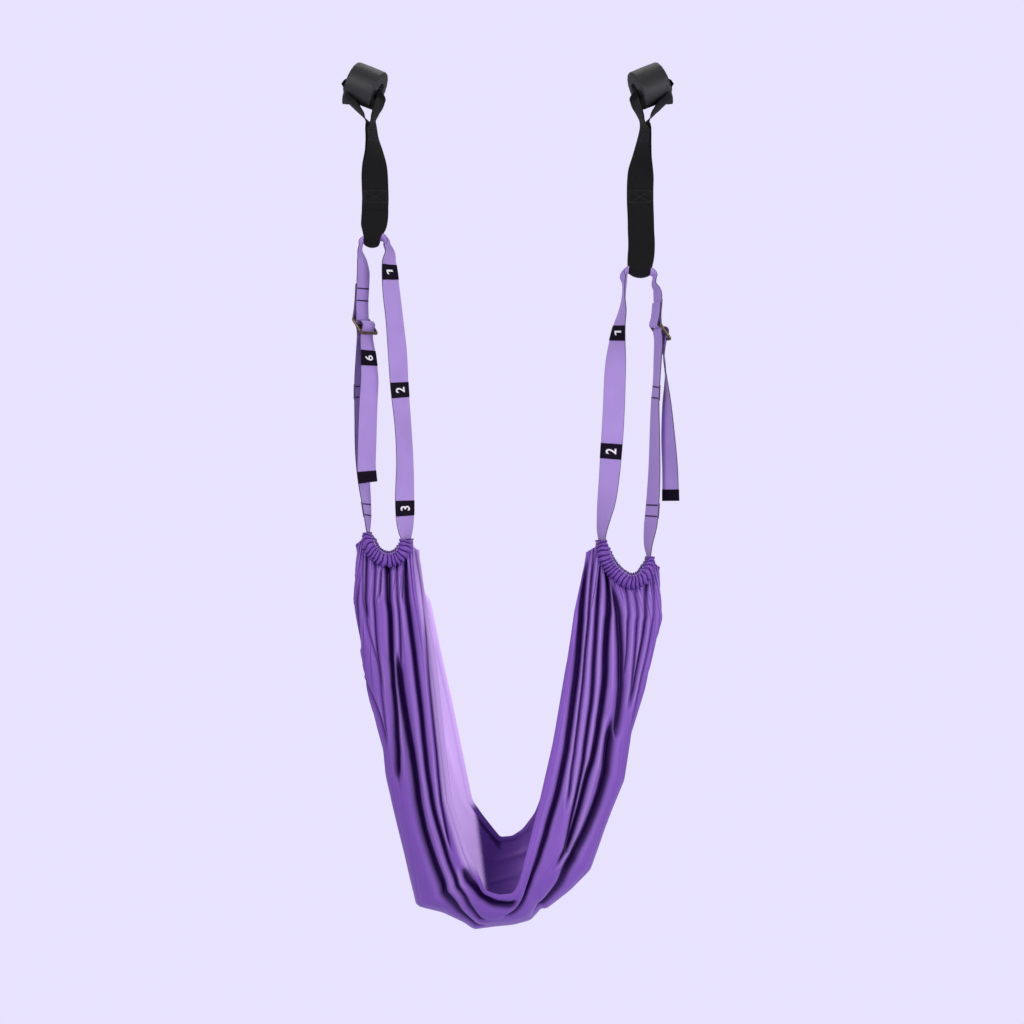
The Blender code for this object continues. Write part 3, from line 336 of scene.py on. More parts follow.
class StageSettings(PropertyGroup):
    """Camera and light."""

    lens: FloatProperty(
        name="Lens", description="Focal length in millimetres", default=180.0, min=20.0)
    frame_width: length_property("Frame Width", "Width of the picture at the strap", 1.7306, 0.1)
    centre_x: length_property("Centre X", "X of the picture's middle", 0.00845)
    centre_z: length_property("Centre Z", "Z of the picture's middle", -0.664)
    key_power: FloatProperty(
        name="Key Light", description="Power of the large lamp at the upper left, in watts",
        default=48.0)
    fill_power: FloatProperty(
        name="Fill Light", description="Power of the large lamp at the right, in watts",
        default=48.0)
    top_power: FloatProperty(
        name="Top Light", description="Power of the lamp above and behind, in watts", default=14.0)
    sky: FloatProperty(
        name="Sky Light", description="Strength of the light from all round", default=0.42)


# Strap geometry -------------------------------------------------------------------------------


def mm(key):
    """One of the strap's sizes in millimetres."""
    return getattr(bpy.context.scene.strap_sizes, key) / MM


def unit(vectors):
    """Vectors divided by their length."""
    return vectors / np.maximum(np.linalg.norm(vectors, axis=-1, keepdims=True), 1e-9)


def ease(share):
    """0 to 1 with level ends: 3s^2 - 2s^3."""
    share = np.clip(share, 0.0, 1.0)
    return share * share * (3 - 2 * share)


def averaged(values, passes):
    """Rows averaged with their neighbours where they are: (before + 2 * row + after) / 4."""
    for _ in range(passes):
        values[1:-1] = (values[:-2] + 2 * values[1:-1] + values[2:]) / 4
    return values


def ring_angles(sides):
    """The angle of each corner of a ring."""
    return np.linspace(0, 2 * math.pi, sides, endpoint=False)


def smooth(rows, fine=FINE):
    """A cubic Hermite curve through every row, with `fine` steps between two rows.

    Each row leaves and arrives with the slope of its neighbours, over knots that are the square
    root of the distance between rows apart.
    """
    rows = np.array(rows, float)
    gaps = np.sqrt(np.linalg.norm(np.diff(rows[:, :3], axis=0), axis=1))
    knots = np.concatenate([[0.0], np.cumsum(gaps)])
    slopes = np.gradient(rows, knots, axis=0)
    step = (np.arange(fine) / fine)[None, :, None]
    gap = gaps[:, None, None]
    start, end = rows[:-1, None], rows[1:, None]
    leave, arrive = slopes[:-1, None] * gap, slopes[1:, None] * gap
    curve = (
        start * (2 * step**3 - 3 * step**2 + 1)
        + leave * (step**3 - 2 * step**2 + step)
        + end * (3 * step**2 - 2 * step**3)
        + arrive * (step**3 - step**2)
    )
    return np.concatenate([curve.reshape(-1, rows.shape[1]), rows[-1:]])


def lengths_along(run):
    """Distance from the run's start to each of its rows."""
    return np.concatenate([[0.0], np.cumsum(np.linalg.norm(np.diff(run[:, :3], axis=0), axis=1))])


def rows_at(values, along, wanted):
    """The rows of a run or surface at the wanted distances along it, by linear interpolation."""
    wanted = np.asarray(wanted, float)
    flat = values.reshape(len(values), -1)
    rows = np.stack([np.interp(wanted, along, column) for column in flat.T], axis=1)
    return rows.reshape(len(wanted), *values.shape[1:])


def span_of(run, start, end):
    """The stretch of a run between two distances, its own rows kept inside, and its distances."""
    along = lengths_along(run)
    kept = along[(along > start + 0.3) & (along < end - 0.3)]
    spots = np.concatenate([[start], kept, [end]])
    return rows_at(run, along, spots), spots


def frames(run):
    """Tangent, width direction and facing direction of a flat strap at each row of its run.

    The width direction comes from the row's turn and slope and is set square to the tangent. The
    facing direction is their cross product.
    """
    tangent = unit(np.gradient(run[:, :3], lengths_along(run), axis=0))
    turn, slope = np.radians(run[:, 3]), np.radians(run[:, 5])
    level = np.cos(turn)
    wide = np.stack([level * np.cos(slope), np.sin(turn), level * np.sin(slope)], axis=1)
    wide = unit(wide - tangent * (wide * tangent).sum(1, keepdims=True))
    return tangent, wide, np.cross(tangent, wide)


def on_strap(run, width, across, lift):
    """Points on a strap: `across` in shares of its width from -0.5 to 0.5, `lift` off its middle.

    The section is an arc whose angle is the row's curl, so a point stands at (radius - lift) from
    the arc's centre, at its share of the curl. A curl below zero bends the other way.
    """
    _, wide, facing = frames(run)
    curl = np.where(np.abs(run[:, 4]) < 1e-3, 1e-3, run[:, 4])[:, None]
    radius = width * run[:, 6][:, None] / curl
    angle = across[None, :] * curl
    side = (radius - lift) * np.sin(angle)
    rise = radius - (radius - lift) * np.cos(angle)
    return run[:, None, :3] + side[..., None] * wide[:, None] + rise[..., None] * facing[:, None]


def row(x, y, z, turn, curl=0.0, slope=0.0, share=1.0):
    """One station of a strap: its place, turn, curl, slope and share of the full width."""
    return (x, y, z, turn, curl, slope, share)


def roller_axis(side):
    """The roller's bore direction, down towards the middle and a little to the front."""
    slope, yaw = math.radians(ROLLER_SLOPE), math.radians(ROLLER_YAW)
    level = math.cos(yaw)
    return np.array([math.cos(slope) * level, -math.sin(yaw), -math.sin(slope) * level])


def doubled(stations, layer):
    """Rows of one layer of a doubled strap, which stands off the middle along the facing side."""
    rows = []
    for x, z, turn in stations:
        angle = math.radians(turn)
        rows.append(row(x + layer * math.sin(angle), -layer * math.cos(angle), z, turn))
    return rows


def along_saddle(side, across, height, depth=0.0):
    """A point set from the saddle, where webbing hangs on webbing, along its tilted axis."""
    slope = math.radians(side["saddle_slope"])
    x, y, z = side["saddle"]
    return (
        x + across * math.cos(slope) - height * math.sin(slope),
        y + depth,
        z + across * math.sin(slope) + height * math.cos(slope),
    )


@lru_cache(maxsize=None)
def black_run(name):
    """The black strap of one side as one closed band.

    It goes from the door's edge up the rear layer, round through the roller, down the front layer,
    round the bottom loop and back up to where it started.
    """
    side = SIDES[name]
    centre, axis = np.array(side["roller"]), roller_axis(side)
    slope, tilt, shares = math.radians(ROLLER_SLOPE), side["saddle_slope"], side["loop_shares"]
    down = unit(np.array([-math.sin(slope), 0.0, -math.cos(slope)]))
    layer = (mm("black_thick") + LAYER_GAP) / 2
    hinge = (side["strap_hinge_x"], DOOR_EDGE_Z, 4)
    stations = side["strap_top"] + (hinge,)

    def beside(along, drop, turn, curl):
        return row(*(centre + axis * along + down * drop), turn, curl)

    def near_roller(stations):
        return [row(*(centre + station[:3]), *station[3:]) for station in stations]

    rows = doubled(stations, -layer)[::-1] + near_roller(STRAP_UP)
    rows += [beside(-31.5, 14.5, 84, 1.3), beside(-28, 13.2, 88, 2.7)]
    in_bore = mm("black_width") / BORE_CURL
    rows += [beside(along, in_bore, 90, BORE_CURL) for along in (-22, -8, 8, 22)]
    rows += [beside(27.5, 12.5, 84, 2.3)] + near_roller(STRAP_DOWN)
    front_top = len(rows)
    rows += doubled(stations, layer) + doubled(side["strap_low"], layer)
    rear = doubled(side["strap_low"], -layer)[::-1]
    top_x = side["strap_low"][-1][0]
    for (height, depth, near, curl), share in zip(OPENING, shares):
        x, _, z = along_saddle(side, 0.0, height)
        x = top_x + (x - top_x) * near
        rows.append(row(x, -depth, z, 0, curl, tilt * near, share))
        rear.insert(0, row(x, depth, z, 0, curl, tilt * near, share))
    for angle in np.radians(np.linspace(0, 180, 9)):
        sine, cosine = math.sin(angle), math.cos(angle)
        place = along_saddle(side, 0.0, -LOOP_RADIUS * sine, -LOOP_RADIUS * cosine)
        rows.append(row(*place, 0, -1.0 - 0.3 * sine, tilt, shares[-1] + 0.1 * cosine**2))
    rows += rear + doubled((hinge,), -layer)
    run = smooth(rows)
    return run, lengths_along(run)[FINE * front_top]


def saddle_rows(side):
    """The purple webbing where it lies in the black loop, curled, and bends down at both sides."""
    slope, (back, front, rise) = side["saddle_slope"], side["saddle_reach"]
    top = SADDLE_LIFT - SADDLE_RADIUS
    low, half = top - SADDLE_BEND, SADDLE_BEND * math.sqrt(0.5)
    curl, right = mm("purple_width") / SADDLE_RADIUS, low + rise
    places = (
        (-(back + SADDLE_BEND + 1), low - 10, 80, 0.4, slope),
        (-(back + SADDLE_BEND), low, 87, 1.0, slope),
        (-(back + half), low + half, 90, 2.1, slope),
        *(
            (across, top + rise * ease(across / front), 90, curl, slope)
            for across in np.linspace(-back, front, 6)
        ),
        (front + half, right + half, 86, 2.0, slope),
        (front + SADDLE_BEND, right - 2, 76, 1.5, slope * 0.5),
    )
    return [row(*along_saddle(side, across, height), *rest) for across, height, *rest in places]


def buckle_frame(side):
    """The buckle's width, front and up directions."""
    turn = math.radians(side["buckle_turn"])
    wide = np.array([math.cos(turn), math.sin(turn), 0.0])
    front = np.array([math.sin(turn), -math.cos(turn), 0.0]) * side["fold"]
    return wide, front, np.array([0.0, 0.0, 1.0])


def at_buckle(side, forward, up, across=0.0):
    """A point set from the buckle's middle bar."""
    wide, front, high = buckle_frame(side)
    return np.array(side["buckle"]) + wide * across + front * forward + high * up


def lean():
    """The step from the buckle's middle bar to the lower one, as forward and up."""
    angle = math.radians(BUCKLE_LEAN)
    return BAR_SPACING * math.sin(angle), -BAR_SPACING * math.cos(angle)


def bight_rows(side):
    """The webbing up through the buckle, over its middle bar and down again."""
    places = (
        (-3.3, -BIGHT_DROP), (-3.7, -8), (-4.8, -1), (-4.0, 5), (-0.6, 8.2), (3.8, 7.8),
        (7.2, 4.2), (7.6, -1), (5.6, -6.5), (3.9, -12), (3.2, -BIGHT_DROP),
    )
    return [row(*at_buckle(side, forward, up), side["buckle_turn"]) for forward, up in places]


def distance_at_height(run, height, after):
    """How far along the run it first comes down to a height, past a given distance."""
    along = lengths_along(run)
    falling = (run[1:, 2] <= height) & (run[:-1, 2] > height) & (along[1:] > after)
    below = np.nonzero(falling)[0][0]
    share = (run[below, 2] - height) / (run[below, 2] - run[below + 1, 2])
    return along[below] + share * (along[below + 1] - along[below])


@lru_cache(maxsize=None)
def purple_run(name):
    """The whole numbered strap from its sewn end to its tail, where it is cut, and its labels.

    The cuts are distances along it: the adjuster's low end, the top of the back run, the two ends
    of the bight in the buckle, and the tail's end.
    """
    side = SIDES[name]
    forward, drop = lean()
    top, bar = np.array(side["wrap_top"]), at_buckle(side, -forward, -drop)
    upper, down, tail = (
        [row(*station) for station in stations] for stations in (
            side["adjuster"], side["front_run"] + side["bend"] + side["back_run"], side["tail"]))
    start = [row(*(top + (bar - top) * 0.06), side["buckle_turn"])] + upper
    loop, bight = saddle_rows(side) + down, bight_rows(side)
    middle = tuple((np.array(loop[-1]) + np.array(bight[0])) / 2)
    run = smooth(start + loop + [middle] + bight + tail)
    stations = np.cumsum([len(start) - 1, len(loop), 2, len(bight) - 1, len(tail)])
    cuts = lengths_along(run)[stations * FINE]
    first = distance_at_height(run, side["first_label_z"], cuts[0] + 30)
    labels = [first + LABEL_PITCH * step for step in side["label_steps"]]
    labels.append(distance_at_height(run, side["tail_label_z"], cuts[3]))
    return run, cuts, labels


@lru_cache(maxsize=None)
def folded_run(name):
    """The webbing's end folded round the buckle's top bar, down one face and up the other."""
    side, thick = SIDES[name], mm("purple_thick")
    turn, layer = side["buckle_turn"], (thick + 0.4) / 2
    around = BAR_RADIUS + 0.6 + thick / 2
    forward, drop = lean()
    _, front, high = buckle_frame(side)
    bar, top = at_buckle(side, -forward, -drop), np.array(side["wrap_top"])
    rows = []
    for share, stand in ((1.0, layer), (0.75, layer), (0.5, layer), (0.28, layer * 1.6)):
        rows.append(row(*(bar + (top - bar) * share + front * (stand - layer * share)), turn))
    for angle in np.radians(np.linspace(0, 180, 8)):
        place = bar + front * around * math.cos(angle) - high * around * math.sin(angle)
        rows.append(row(*place, turn))
    for share, stand in ((0.28, layer * 1.6), (0.5, layer), (0.75, layer), (0.9, layer)):
        rows.append(row(*(bar + (top - bar) * share - front * (stand + layer * share)), turn))
    return smooth(rows)


# Meshes ---------------------------------------------------------------------------------------


def grid_quads(rows, columns, ring=False):
    """Quads between neighbouring rows and columns of a point grid, closed round for a ring."""
    across = columns if ring else columns - 1
    i, j = np.meshgrid(np.arange(rows - 1) * columns, np.arange(across), indexing="ij")
    over, following = i + columns, (j + 1) % columns
    quads = [i + j, i + following, over + following, over + j]
    return np.stack(quads, axis=-1).reshape(-1, 4)


def tube(count, sides, looped=False):
    """Faces of rings joined in their order, with caps at both ends or joined round into a loop."""
    if looped:
        return [grid_quads(count + 1, sides, ring=True) % (count * sides)]
    cap = np.arange(sides)[None]
    return [grid_quads(count, sides, ring=True), cap[:, ::-1], cap + (count - 1) * sides]


def spread(across, along):
    """A grid's UV map, from distances across its columns and along its rows."""
    return np.stack(np.broadcast_arrays(across, along[:, None]), axis=-1)


def turned_out(points, groups):
    """The faces of a closed shell, each turned round if the shell's signed volume is negative.

    The volume is the sum, over the triangles of each face, of a . (b x c) / 6.
    """
    volume = 0.0
    for group in groups:
        corner = points[group[:, 0]]
        for step in range(1, group.shape[1] - 1):
            square = np.cross(points[group[:, step]], points[group[:, step + 1]])
            volume += (corner * square).sum() / 6
    return [group[:, ::-1] if volume < 0 else group for group in groups]


def new_piece(
        name, points, groups, finish, mirror=1.0, uv=None, values=None, sharp=40.0, closed=True):
    """An object of points in millimetres and groups of equal-sided faces, with UV and values."""
    points = np.asarray(points, float).reshape(-1, 3) * (mirror, 1.0, 1.0)
    if closed:
        groups = turned_out(points, groups)
    mesh = bpy.data.meshes.new(name)
    mesh.vertices.add(len(points))
    mesh.vertices.foreach_set("co", (points * MM).astype(np.float32).ravel())
    corners = np.concatenate([group.ravel() for group in groups]).astype(np.int32)
    sizes = np.concatenate([np.full(len(group), group.shape[1]) for group in groups])
    mesh.loops.add(len(corners))
    mesh.loops.foreach_set("vertex_index", corners)
    mesh.polygons.add(len(sizes))
    mesh.polygons.foreach_set("loop_start", (np.cumsum(sizes) - sizes).astype(np.int32))
    mesh.update(calc_edges=True)
    mesh.validate()
    if uv is not None:
        index = np.empty(len(mesh.loops), np.int32)
        mesh.loops.foreach_get("vertex_index", index)
        flat = (uv.reshape(-1, 2)[index] * MM).astype(np.float32)
        mesh.uv_layers.new(name="weave").data.foreach_set("uv", flat.ravel())
    for key, value in (values or {}).items():
        held = mesh.attributes.new(key, "FLOAT", "POINT")
        held.data.foreach_set("value", value.astype(np.float32).ravel())
    mesh.materials.append(finish)
    mesh.shade_smooth()
    mesh.set_sharp_from_angle(angle=math.radians(sharp))
    obj = bpy.data.objects.new(name, mesh)
    bpy.context.scene.collection.objects.link(obj)
    return obj


def dress(piece, slot, *nodes, body=None):
    """The body that a piece rides on and the CAD nodes it stands for; the slot is not used."""
    if body:
        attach(piece, body)
    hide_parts(*nodes)
    return piece


def band(name, run, width, thick, span, finish, mirror, lift=0.0, columns=18):
    """A flat woven band carried along a run: a rounded section at every row, closed at both ends.

    The section goes across the upper face, round an edge in a half circle of half the thickness,
    back across the lower face and round the other edge.
    """
    piece, spots = span_of(run, *span)
    half = thick / 2
    flat = np.linspace(-0.5 + half / width, 0.5 - half / width, columns + 1)
    bend = np.radians(np.linspace(90, -90, 7)[1:-1])
    edge = flat[-1] + half / width * np.cos(bend)
    across = np.concatenate([flat, edge, flat[::-1], -edge])
    high = np.concatenate([np.full(columns + 1, half), half * np.sin(bend)])
    lifts = np.concatenate([high, -high]) + lift
    points = np.concatenate(
        [on_strap(piece, width, across[None, i], lifts[i]) for i in range(len(across))], axis=1)
    return new_piece(
        name, points, tube(*points.shape[:2]), finish, mirror, uv=spread(across * width, spots))


def rod_rings(points, flat, radius, sides, looped):
    """Rings round a line in one plane: point + radius * (cos a * outward + sin a * flat)."""
    if looped:
        tangent = unit(np.roll(points, -1, axis=0) - np.roll(points, 1, axis=0))
    else:
        tangent = unit(np.gradient(points, axis=0))
    outward = np.cross(tangent, flat)
    angle = ring_angles(sides)[None, :, None]
    return points[:, None] + radius * (np.cos(angle) * outward[:, None] + np.sin(angle) * flat)


def stitch_shapes(places, along, normal, length, radius=0.38):
    """Thread stitches at places: two rings of six points between two tips, a little flattened."""
    steps = np.array([-1.0] + [-0.62] * 6 + [0.62] * 6 + [1.0]) * length / 2
    angle = np.tile(np.arange(6) * math.pi / 3, 2)
    reach = np.concatenate([[0.0], np.cos(angle), [0.0]]) * radius
    height = np.concatenate([[0.0], np.sin(angle), [0.0]]) * radius * 0.8
    side = unit(np.cross(normal, along))
    points = (
        places[:, None] + along[:, None] * steps[:, None] + side[:, None] * reach[:, None]
        + normal[:, None] * height[:, None]
    )
    ring = np.arange(6)
    over = (ring + 1) % 6
    tips = np.concatenate([
        np.stack([np.zeros(6, int), 1 + over, 1 + ring], axis=1),
        np.stack([np.full(6, 13), 7 + ring, 7 + over], axis=1),
    ])
    sides = np.stack([1 + ring, 1 + over, 7 + over, 7 + ring], axis=1)
    offset = (np.arange(len(places)) * 14)[:, None, None]
    return points.reshape(-1, 3), (tips + offset).reshape(-1, 3), (sides + offset).reshape(-1, 4)


def sew(name, lines, finish, mirror, length=None, pitch=None):
    """Rows of stitches along lines of surface points with their normals, made one mesh."""
    length = length or mm("stitch_length")
    pitch = pitch or length * 1.35
    points, tips, sides, total = [], [], [], 0
    for line, normal in lines:
        along = lengths_along(line)
        count = max(2, int(along[-1] / pitch))
        spots = (np.arange(count) + 0.5) * along[-1] / count
        places, facing = rows_at(line, along, spots), unit(rows_at(normal, along, spots))
        ahead = unit(rows_at(line, along, spots + 0.4) - rows_at(line, along, spots - 0.4))
        stitches, pointed, square = stitch_shapes(places, ahead, facing, length)
        points.append(stitches)
        tips.append(pointed + total)
        sides.append(square + total)
        total += len(stitches)
    groups = [np.concatenate(tips), np.concatenate(sides)]
    return new_piece(name, np.concatenate(points), groups, finish, mirror, sharp=60.0)


def strap_line(run, width, across, spots, lift):
    """Points on a strap's face at a share of its width for each distance, with its normal."""
    piece = rows_at(run, lengths_along(run), spots)
    across = np.broadcast_to(np.asarray(across, float), (len(piece),))
    near = on_strap(piece, width, np.array([0.0]), 0.0)[:, 0]
    _, wide, facing = frames(piece)
    return near + wide * (across * width)[:, None] + facing * lift, facing * np.sign(lift)


def cross_line(run, width, spot, lift, reach):
    """Points straight across a strap's face at one distance, with the face's normal."""
    piece = rows_at(run, lengths_along(run), [spot - 2, spot, spot + 2])
    _, wide, facing = frames(piece)
    steps = np.linspace(-reach, reach, 12)[:, None] * width
    normal = np.tile(facing[1] * np.sign(lift), (12, 1))
    return piece[1, :3] + wide[1] * steps + facing[1] * lift, normal


def box_lines(run, width, start, end, lift, reach=0.42):
    """A sewn rectangle on one face of a strap, with a diagonal cross in it."""
    lengthwise = np.linspace(start, end, 12)
    lines = [strap_line(run, width, share, lengthwise, lift) for share in (-reach, reach)]
    lines += [cross_line(run, width, spot, lift, reach) for spot in (start, end)]
    for sign in (-1, 1):
        diagonal = sign * np.linspace(-reach, reach, 12)
        lines.append(strap_line(run, width, diagonal, lengthwise, lift))
    return lines


def bar_lines(run, width, spots, lift, reach=0.46):
    """Close rows of stitching straight across one face of a strap, three to a bar."""
    return [
        cross_line(run, width, spot + step, lift, reach)
        for spot in spots for step in (-0.8, 0.0, 0.8)]


# Finishes -------------------------------------------------------------------------------------


class Wire:
    """A socket of a material. Arithmetic on it adds Math nodes."""

    def __init__(self, finish, socket):
        self.finish, self.socket = finish, socket

    def maths(self, operation, *values):
        return self.finish.node("ShaderNodeMath", values, operation=operation)

    def __add__(self, other):
        return self.maths("ADD", self, other)

    def __sub__(self, other):
        return self.maths("SUBTRACT", self, other)

    def __rsub__(self, other):
        return self.maths("SUBTRACT", other, self)

    def __mul__(self, other):
        return self.maths("MULTIPLY", self, other)

    __radd__, __rmul__ = __add__, __mul__

    def sine(self):
        return self.maths("SINE", self)

    def clamped(self):
        return self.finish.node("ShaderNodeClamp", {"Value": self})


class Finish:
    """A material being built, and the one way of adding a node to it."""

    def __init__(self, name, **sockets):
        self.material = bpy.data.materials.new(name)
        self.material.use_nodes = True
        self.tree = self.material.node_tree
        self.shader = self.tree.nodes["Principled BSDF"]
        self.put(**sockets)

    def put(self, **sockets):
        """Sets or links the shader's sockets, named with _ for a space."""
        for key, value in sockets.items():
            self.join(self.shader.inputs[key.replace("_", " ")], value)
        return self

    def join(self, socket, value):
        if isinstance(value, Wire):
            self.tree.links.new(value.socket, socket)
        else:
            socket.default_value = value

    def node(self, kind, values=(), output=0, **settings):
        """A node of that type: its settings first, then its sockets."""
        made = self.tree.nodes.new(kind)
        for key, value in settings.items():
            setattr(made, key, value)
        pairs = values.items() if isinstance(values, dict) else enumerate(values)
        for key, value in pairs:
            self.join(made.inputs[key], value)
        return Wire(self, made.outputs[output])

    def mix(self, factor, first, second):
        """A colour between two colours."""
        return self.node(
            "ShaderNodeMix", {0: factor, 6: first, 7: second}, output=2, data_type="RGBA")

    def weave(self):
        """The piece's own distances across and along its cloth, in metres."""
        place = self.node("ShaderNodeUVMap", uv_map="weave")
        return tuple(self.node("ShaderNodeSeparateXYZ", [place], output=axis) for axis in (0, 1))

    def noise(self, scale, detail=2.0):
        """Noise on the object's coordinates."""
        place = self.node("ShaderNodeTexCoord", output="Object")
        return self.node("ShaderNodeTexNoise", {"Vector": place, "Scale": scale, "Detail": detail})

    def held(self, key):
        """A value that the mesh carries at each point."""
        return self.node("ShaderNodeAttribute", output="Fac", attribute_name=key)

    def bump(self, height, strength, distance):
        return self.put(Normal=self.node(
            "ShaderNodeBump", {"Height": height, "Strength": strength, "Distance": distance}))


def palette(key):
    """One of the strap's colours."""
    return tuple(getattr(bpy.context.scene.strap_colours, key))


def shade(colour, factor):
    """A colour made lighter or darker by a factor."""
    return (*(min(1.0, part * factor) for part in colour[:3]), 1.0)


def once(maker):
    """A finish is made the first time that it is asked for."""
    @lru_cache(maxsize=None)
    def made():
        return maker().material
    return made


def woven(name, colour, width, roughness, rib, pick, strength, gloss):
    """Flat woven webbing: lengthwise ribs, chevron picks, uneven dye and painted shade along both
    edges.
    """
    finish = Finish(name, Specular_IOR_Level=gloss, Sheen_Weight=gloss * 0.4, Sheen_Roughness=0.5)
    across, along = finish.weave()
    ribs = (across * (2 * math.pi / rib)).sine()
    slant = across.maths("PINGPONG", across + 1.0, rib * 4.0)
    picks = ((along + slant) * (2 * math.pi / pick)).sine()
    height = ribs * 0.35 + picks * 0.4 + 0.5
    cloud = finish.noise(22.0, 3.0)
    tone = (height * 0.25 + cloud * 0.75).clamped()
    cloth = finish.mix(tone, shade(colour, 0.84), shade(colour, 1.16))
    # Painted shade along both edges of the webbing
    edge = ((across.maths("ABSOLUTE", across) - (width / 2 - 0.8) * MM) * 3000.0).clamped()
    finish.put(
        Base_Color=finish.mix(edge, cloth, shade(colour, 0.16)),
        Roughness=cloud * 0.12 + (roughness - 0.06))
    return finish.bump(height, strength, 0.0003)


@once
def purple_webbing():
    width = mm("purple_width")
    return woven("purple_webbing", palette("webbing"), width, 0.62, 0.0016, 0.0022, 0.5, 0.3)


@once
def black_webbing():
    width = mm("black_width")
    return woven("black_webbing", palette("black"), width, 0.66, 0.0018, 0.0026, 0.7, 0.1)


@once
def label_fabric():
    """Black woven label tape with a fine crosswise weave."""
    finish = Finish("label_tape", Specular_IOR_Level=0.08)
    across, along = finish.weave()
    height = (across * 9000.0).sine() * 0.3 + (along * 11000.0).sine() * 0.3 + 0.5
    cloud = finish.noise(60.0)
    finish.put(
        Base_Color=finish.mix(cloud, (0.003, 0.001, 0.006, 1), (0.009, 0.004, 0.016, 1)),
        Roughness=cloud * 0.2 + 0.5)
    return finish.bump(height, 0.3, 0.0002)


@once
def digit_thread():
    """White woven figures with the grain of their thread."""
    finish = Finish("digit_thread", Specular_IOR_Level=0.2)
    grain = finish.noise(900.0, 2.0)
    finish.put(
        Base_Color=finish.mix(grain, (0.72, 0.70, 0.74, 1), (0.9, 0.88, 0.92, 1)),
        Roughness=grain * 0.2 + 0.6)
    return finish.bump(grain, 0.4, 0.0002)


def thread(name, dark, light):
    """Sewing thread with a little variation from stitch to stitch."""
    finish = Finish(name, Specular_IOR_Level=0.4)
    grain = finish.noise(700.0, 1.0)
    return finish.put(Base_Color=finish.mix(grain, dark, light), Roughness=grain * 0.2 + 0.45)


@once
def purple_thread():
    return thread("purple_thread", (0.012, 0.002, 0.035, 1), (0.04, 0.012, 0.10, 1))


@once
def pale_thread():
    return thread("pale_thread", (0.30, 0.20, 0.50, 1), (0.55, 0.42, 0.75, 1))


@once
def black_thread():
    return thread("black_thread", (0.01, 0.01, 0.011, 1), (0.028, 0.028, 0.03, 1))


@once
def roller_fabric():
    """Coated satin cover: fine crosswise weave, a soft sheen and slight rubbing."""
    finish = Finish("roller_fabric", Specular_IOR_Level=0.38)
    across, along = finish.weave()
    height = (across * 5200.0).sine() * 0.25 + (along * 5200.0).sine() * 0.25 + 0.5
    cloud, colour = finish.noise(35.0, 4.0), palette("roller")
    finish.put(
        Base_Color=finish.mix(cloud, shade(colour, 0.75), shade(colour, 1.3)),
        Roughness=cloud * 0.18 + 0.4)
    return finish.bump(height + cloud * 0.8, 0.25, 0.0004)


@once
def core_plastic():
    finish = Finish("core_plastic", Specular_IOR_Level=0.5)
    grain = finish.noise(140.0, 3.0)
    finish.put(
        Base_Color=finish.mix(grain, (0.03, 0.03, 0.032, 1), (0.06, 0.06, 0.062, 1)),
        Roughness=grain * 0.15 + 0.35)
    return finish.bump(grain, 0.15, 0.0003)


@once
def buckle_metal():
    """Brushed and plated steel with bronze tints where it is handled."""
    finish = Finish("buckle_metal", Metallic=1.0)
    cloud, grain, colour = finish.noise(90.0, 3.0), finish.noise(900.0, 2.0), palette("metal")
    finish.put(
        Base_Color=finish.mix(cloud, shade(colour, 0.7), shade(colour, 1.5)),
        Roughness=grain * 0.2 + 0.22)
    return finish.bump(grain, 0.12, 0.0002)


@once
def hammock_satin():
    """Knitted satin: fine wales, painted shade between folds and painted light where light shines
    through.
    """
    cloth, valley, thin = palette("cloth"), palette("cloth_valley"), palette("cloth_thin")
    finish = Finish("hammock_satin", Specular_IOR_Level=0.6, Specular_Tint=(0.62, 0.40, 1.0, 1.0))
    across, along = finish.weave()
    wales = (across * 7200.0).sine() * 0.3 + (along * 5100.0).sine() * 0.2
    cloud = finish.noise(9.0, 3.0)
    base = finish.mix(cloud, shade(cloth, 0.9), shade(cloth, 1.12))
    # Painted light: lighter where light shines through one layer and on ridges
    base = finish.mix(finish.held("thin"), base, thin)
    finish.put(
        # Painted glow where light shines through one layer
        Emission_Color=finish.mix(finish.held("shine"), (0, 0, 0, 1), shade(thin, 0.6)),
        Emission_Strength=1.0,
        # Painted shade deep in the folds
        Base_Color=finish.mix(finish.held("fold"), base, valley),
        Roughness=cloud * 0.1 + 0.36)
    return finish.bump(wales, 0.12, 0.0002)


# Pieces ---------------------------------------------------------------------------------------


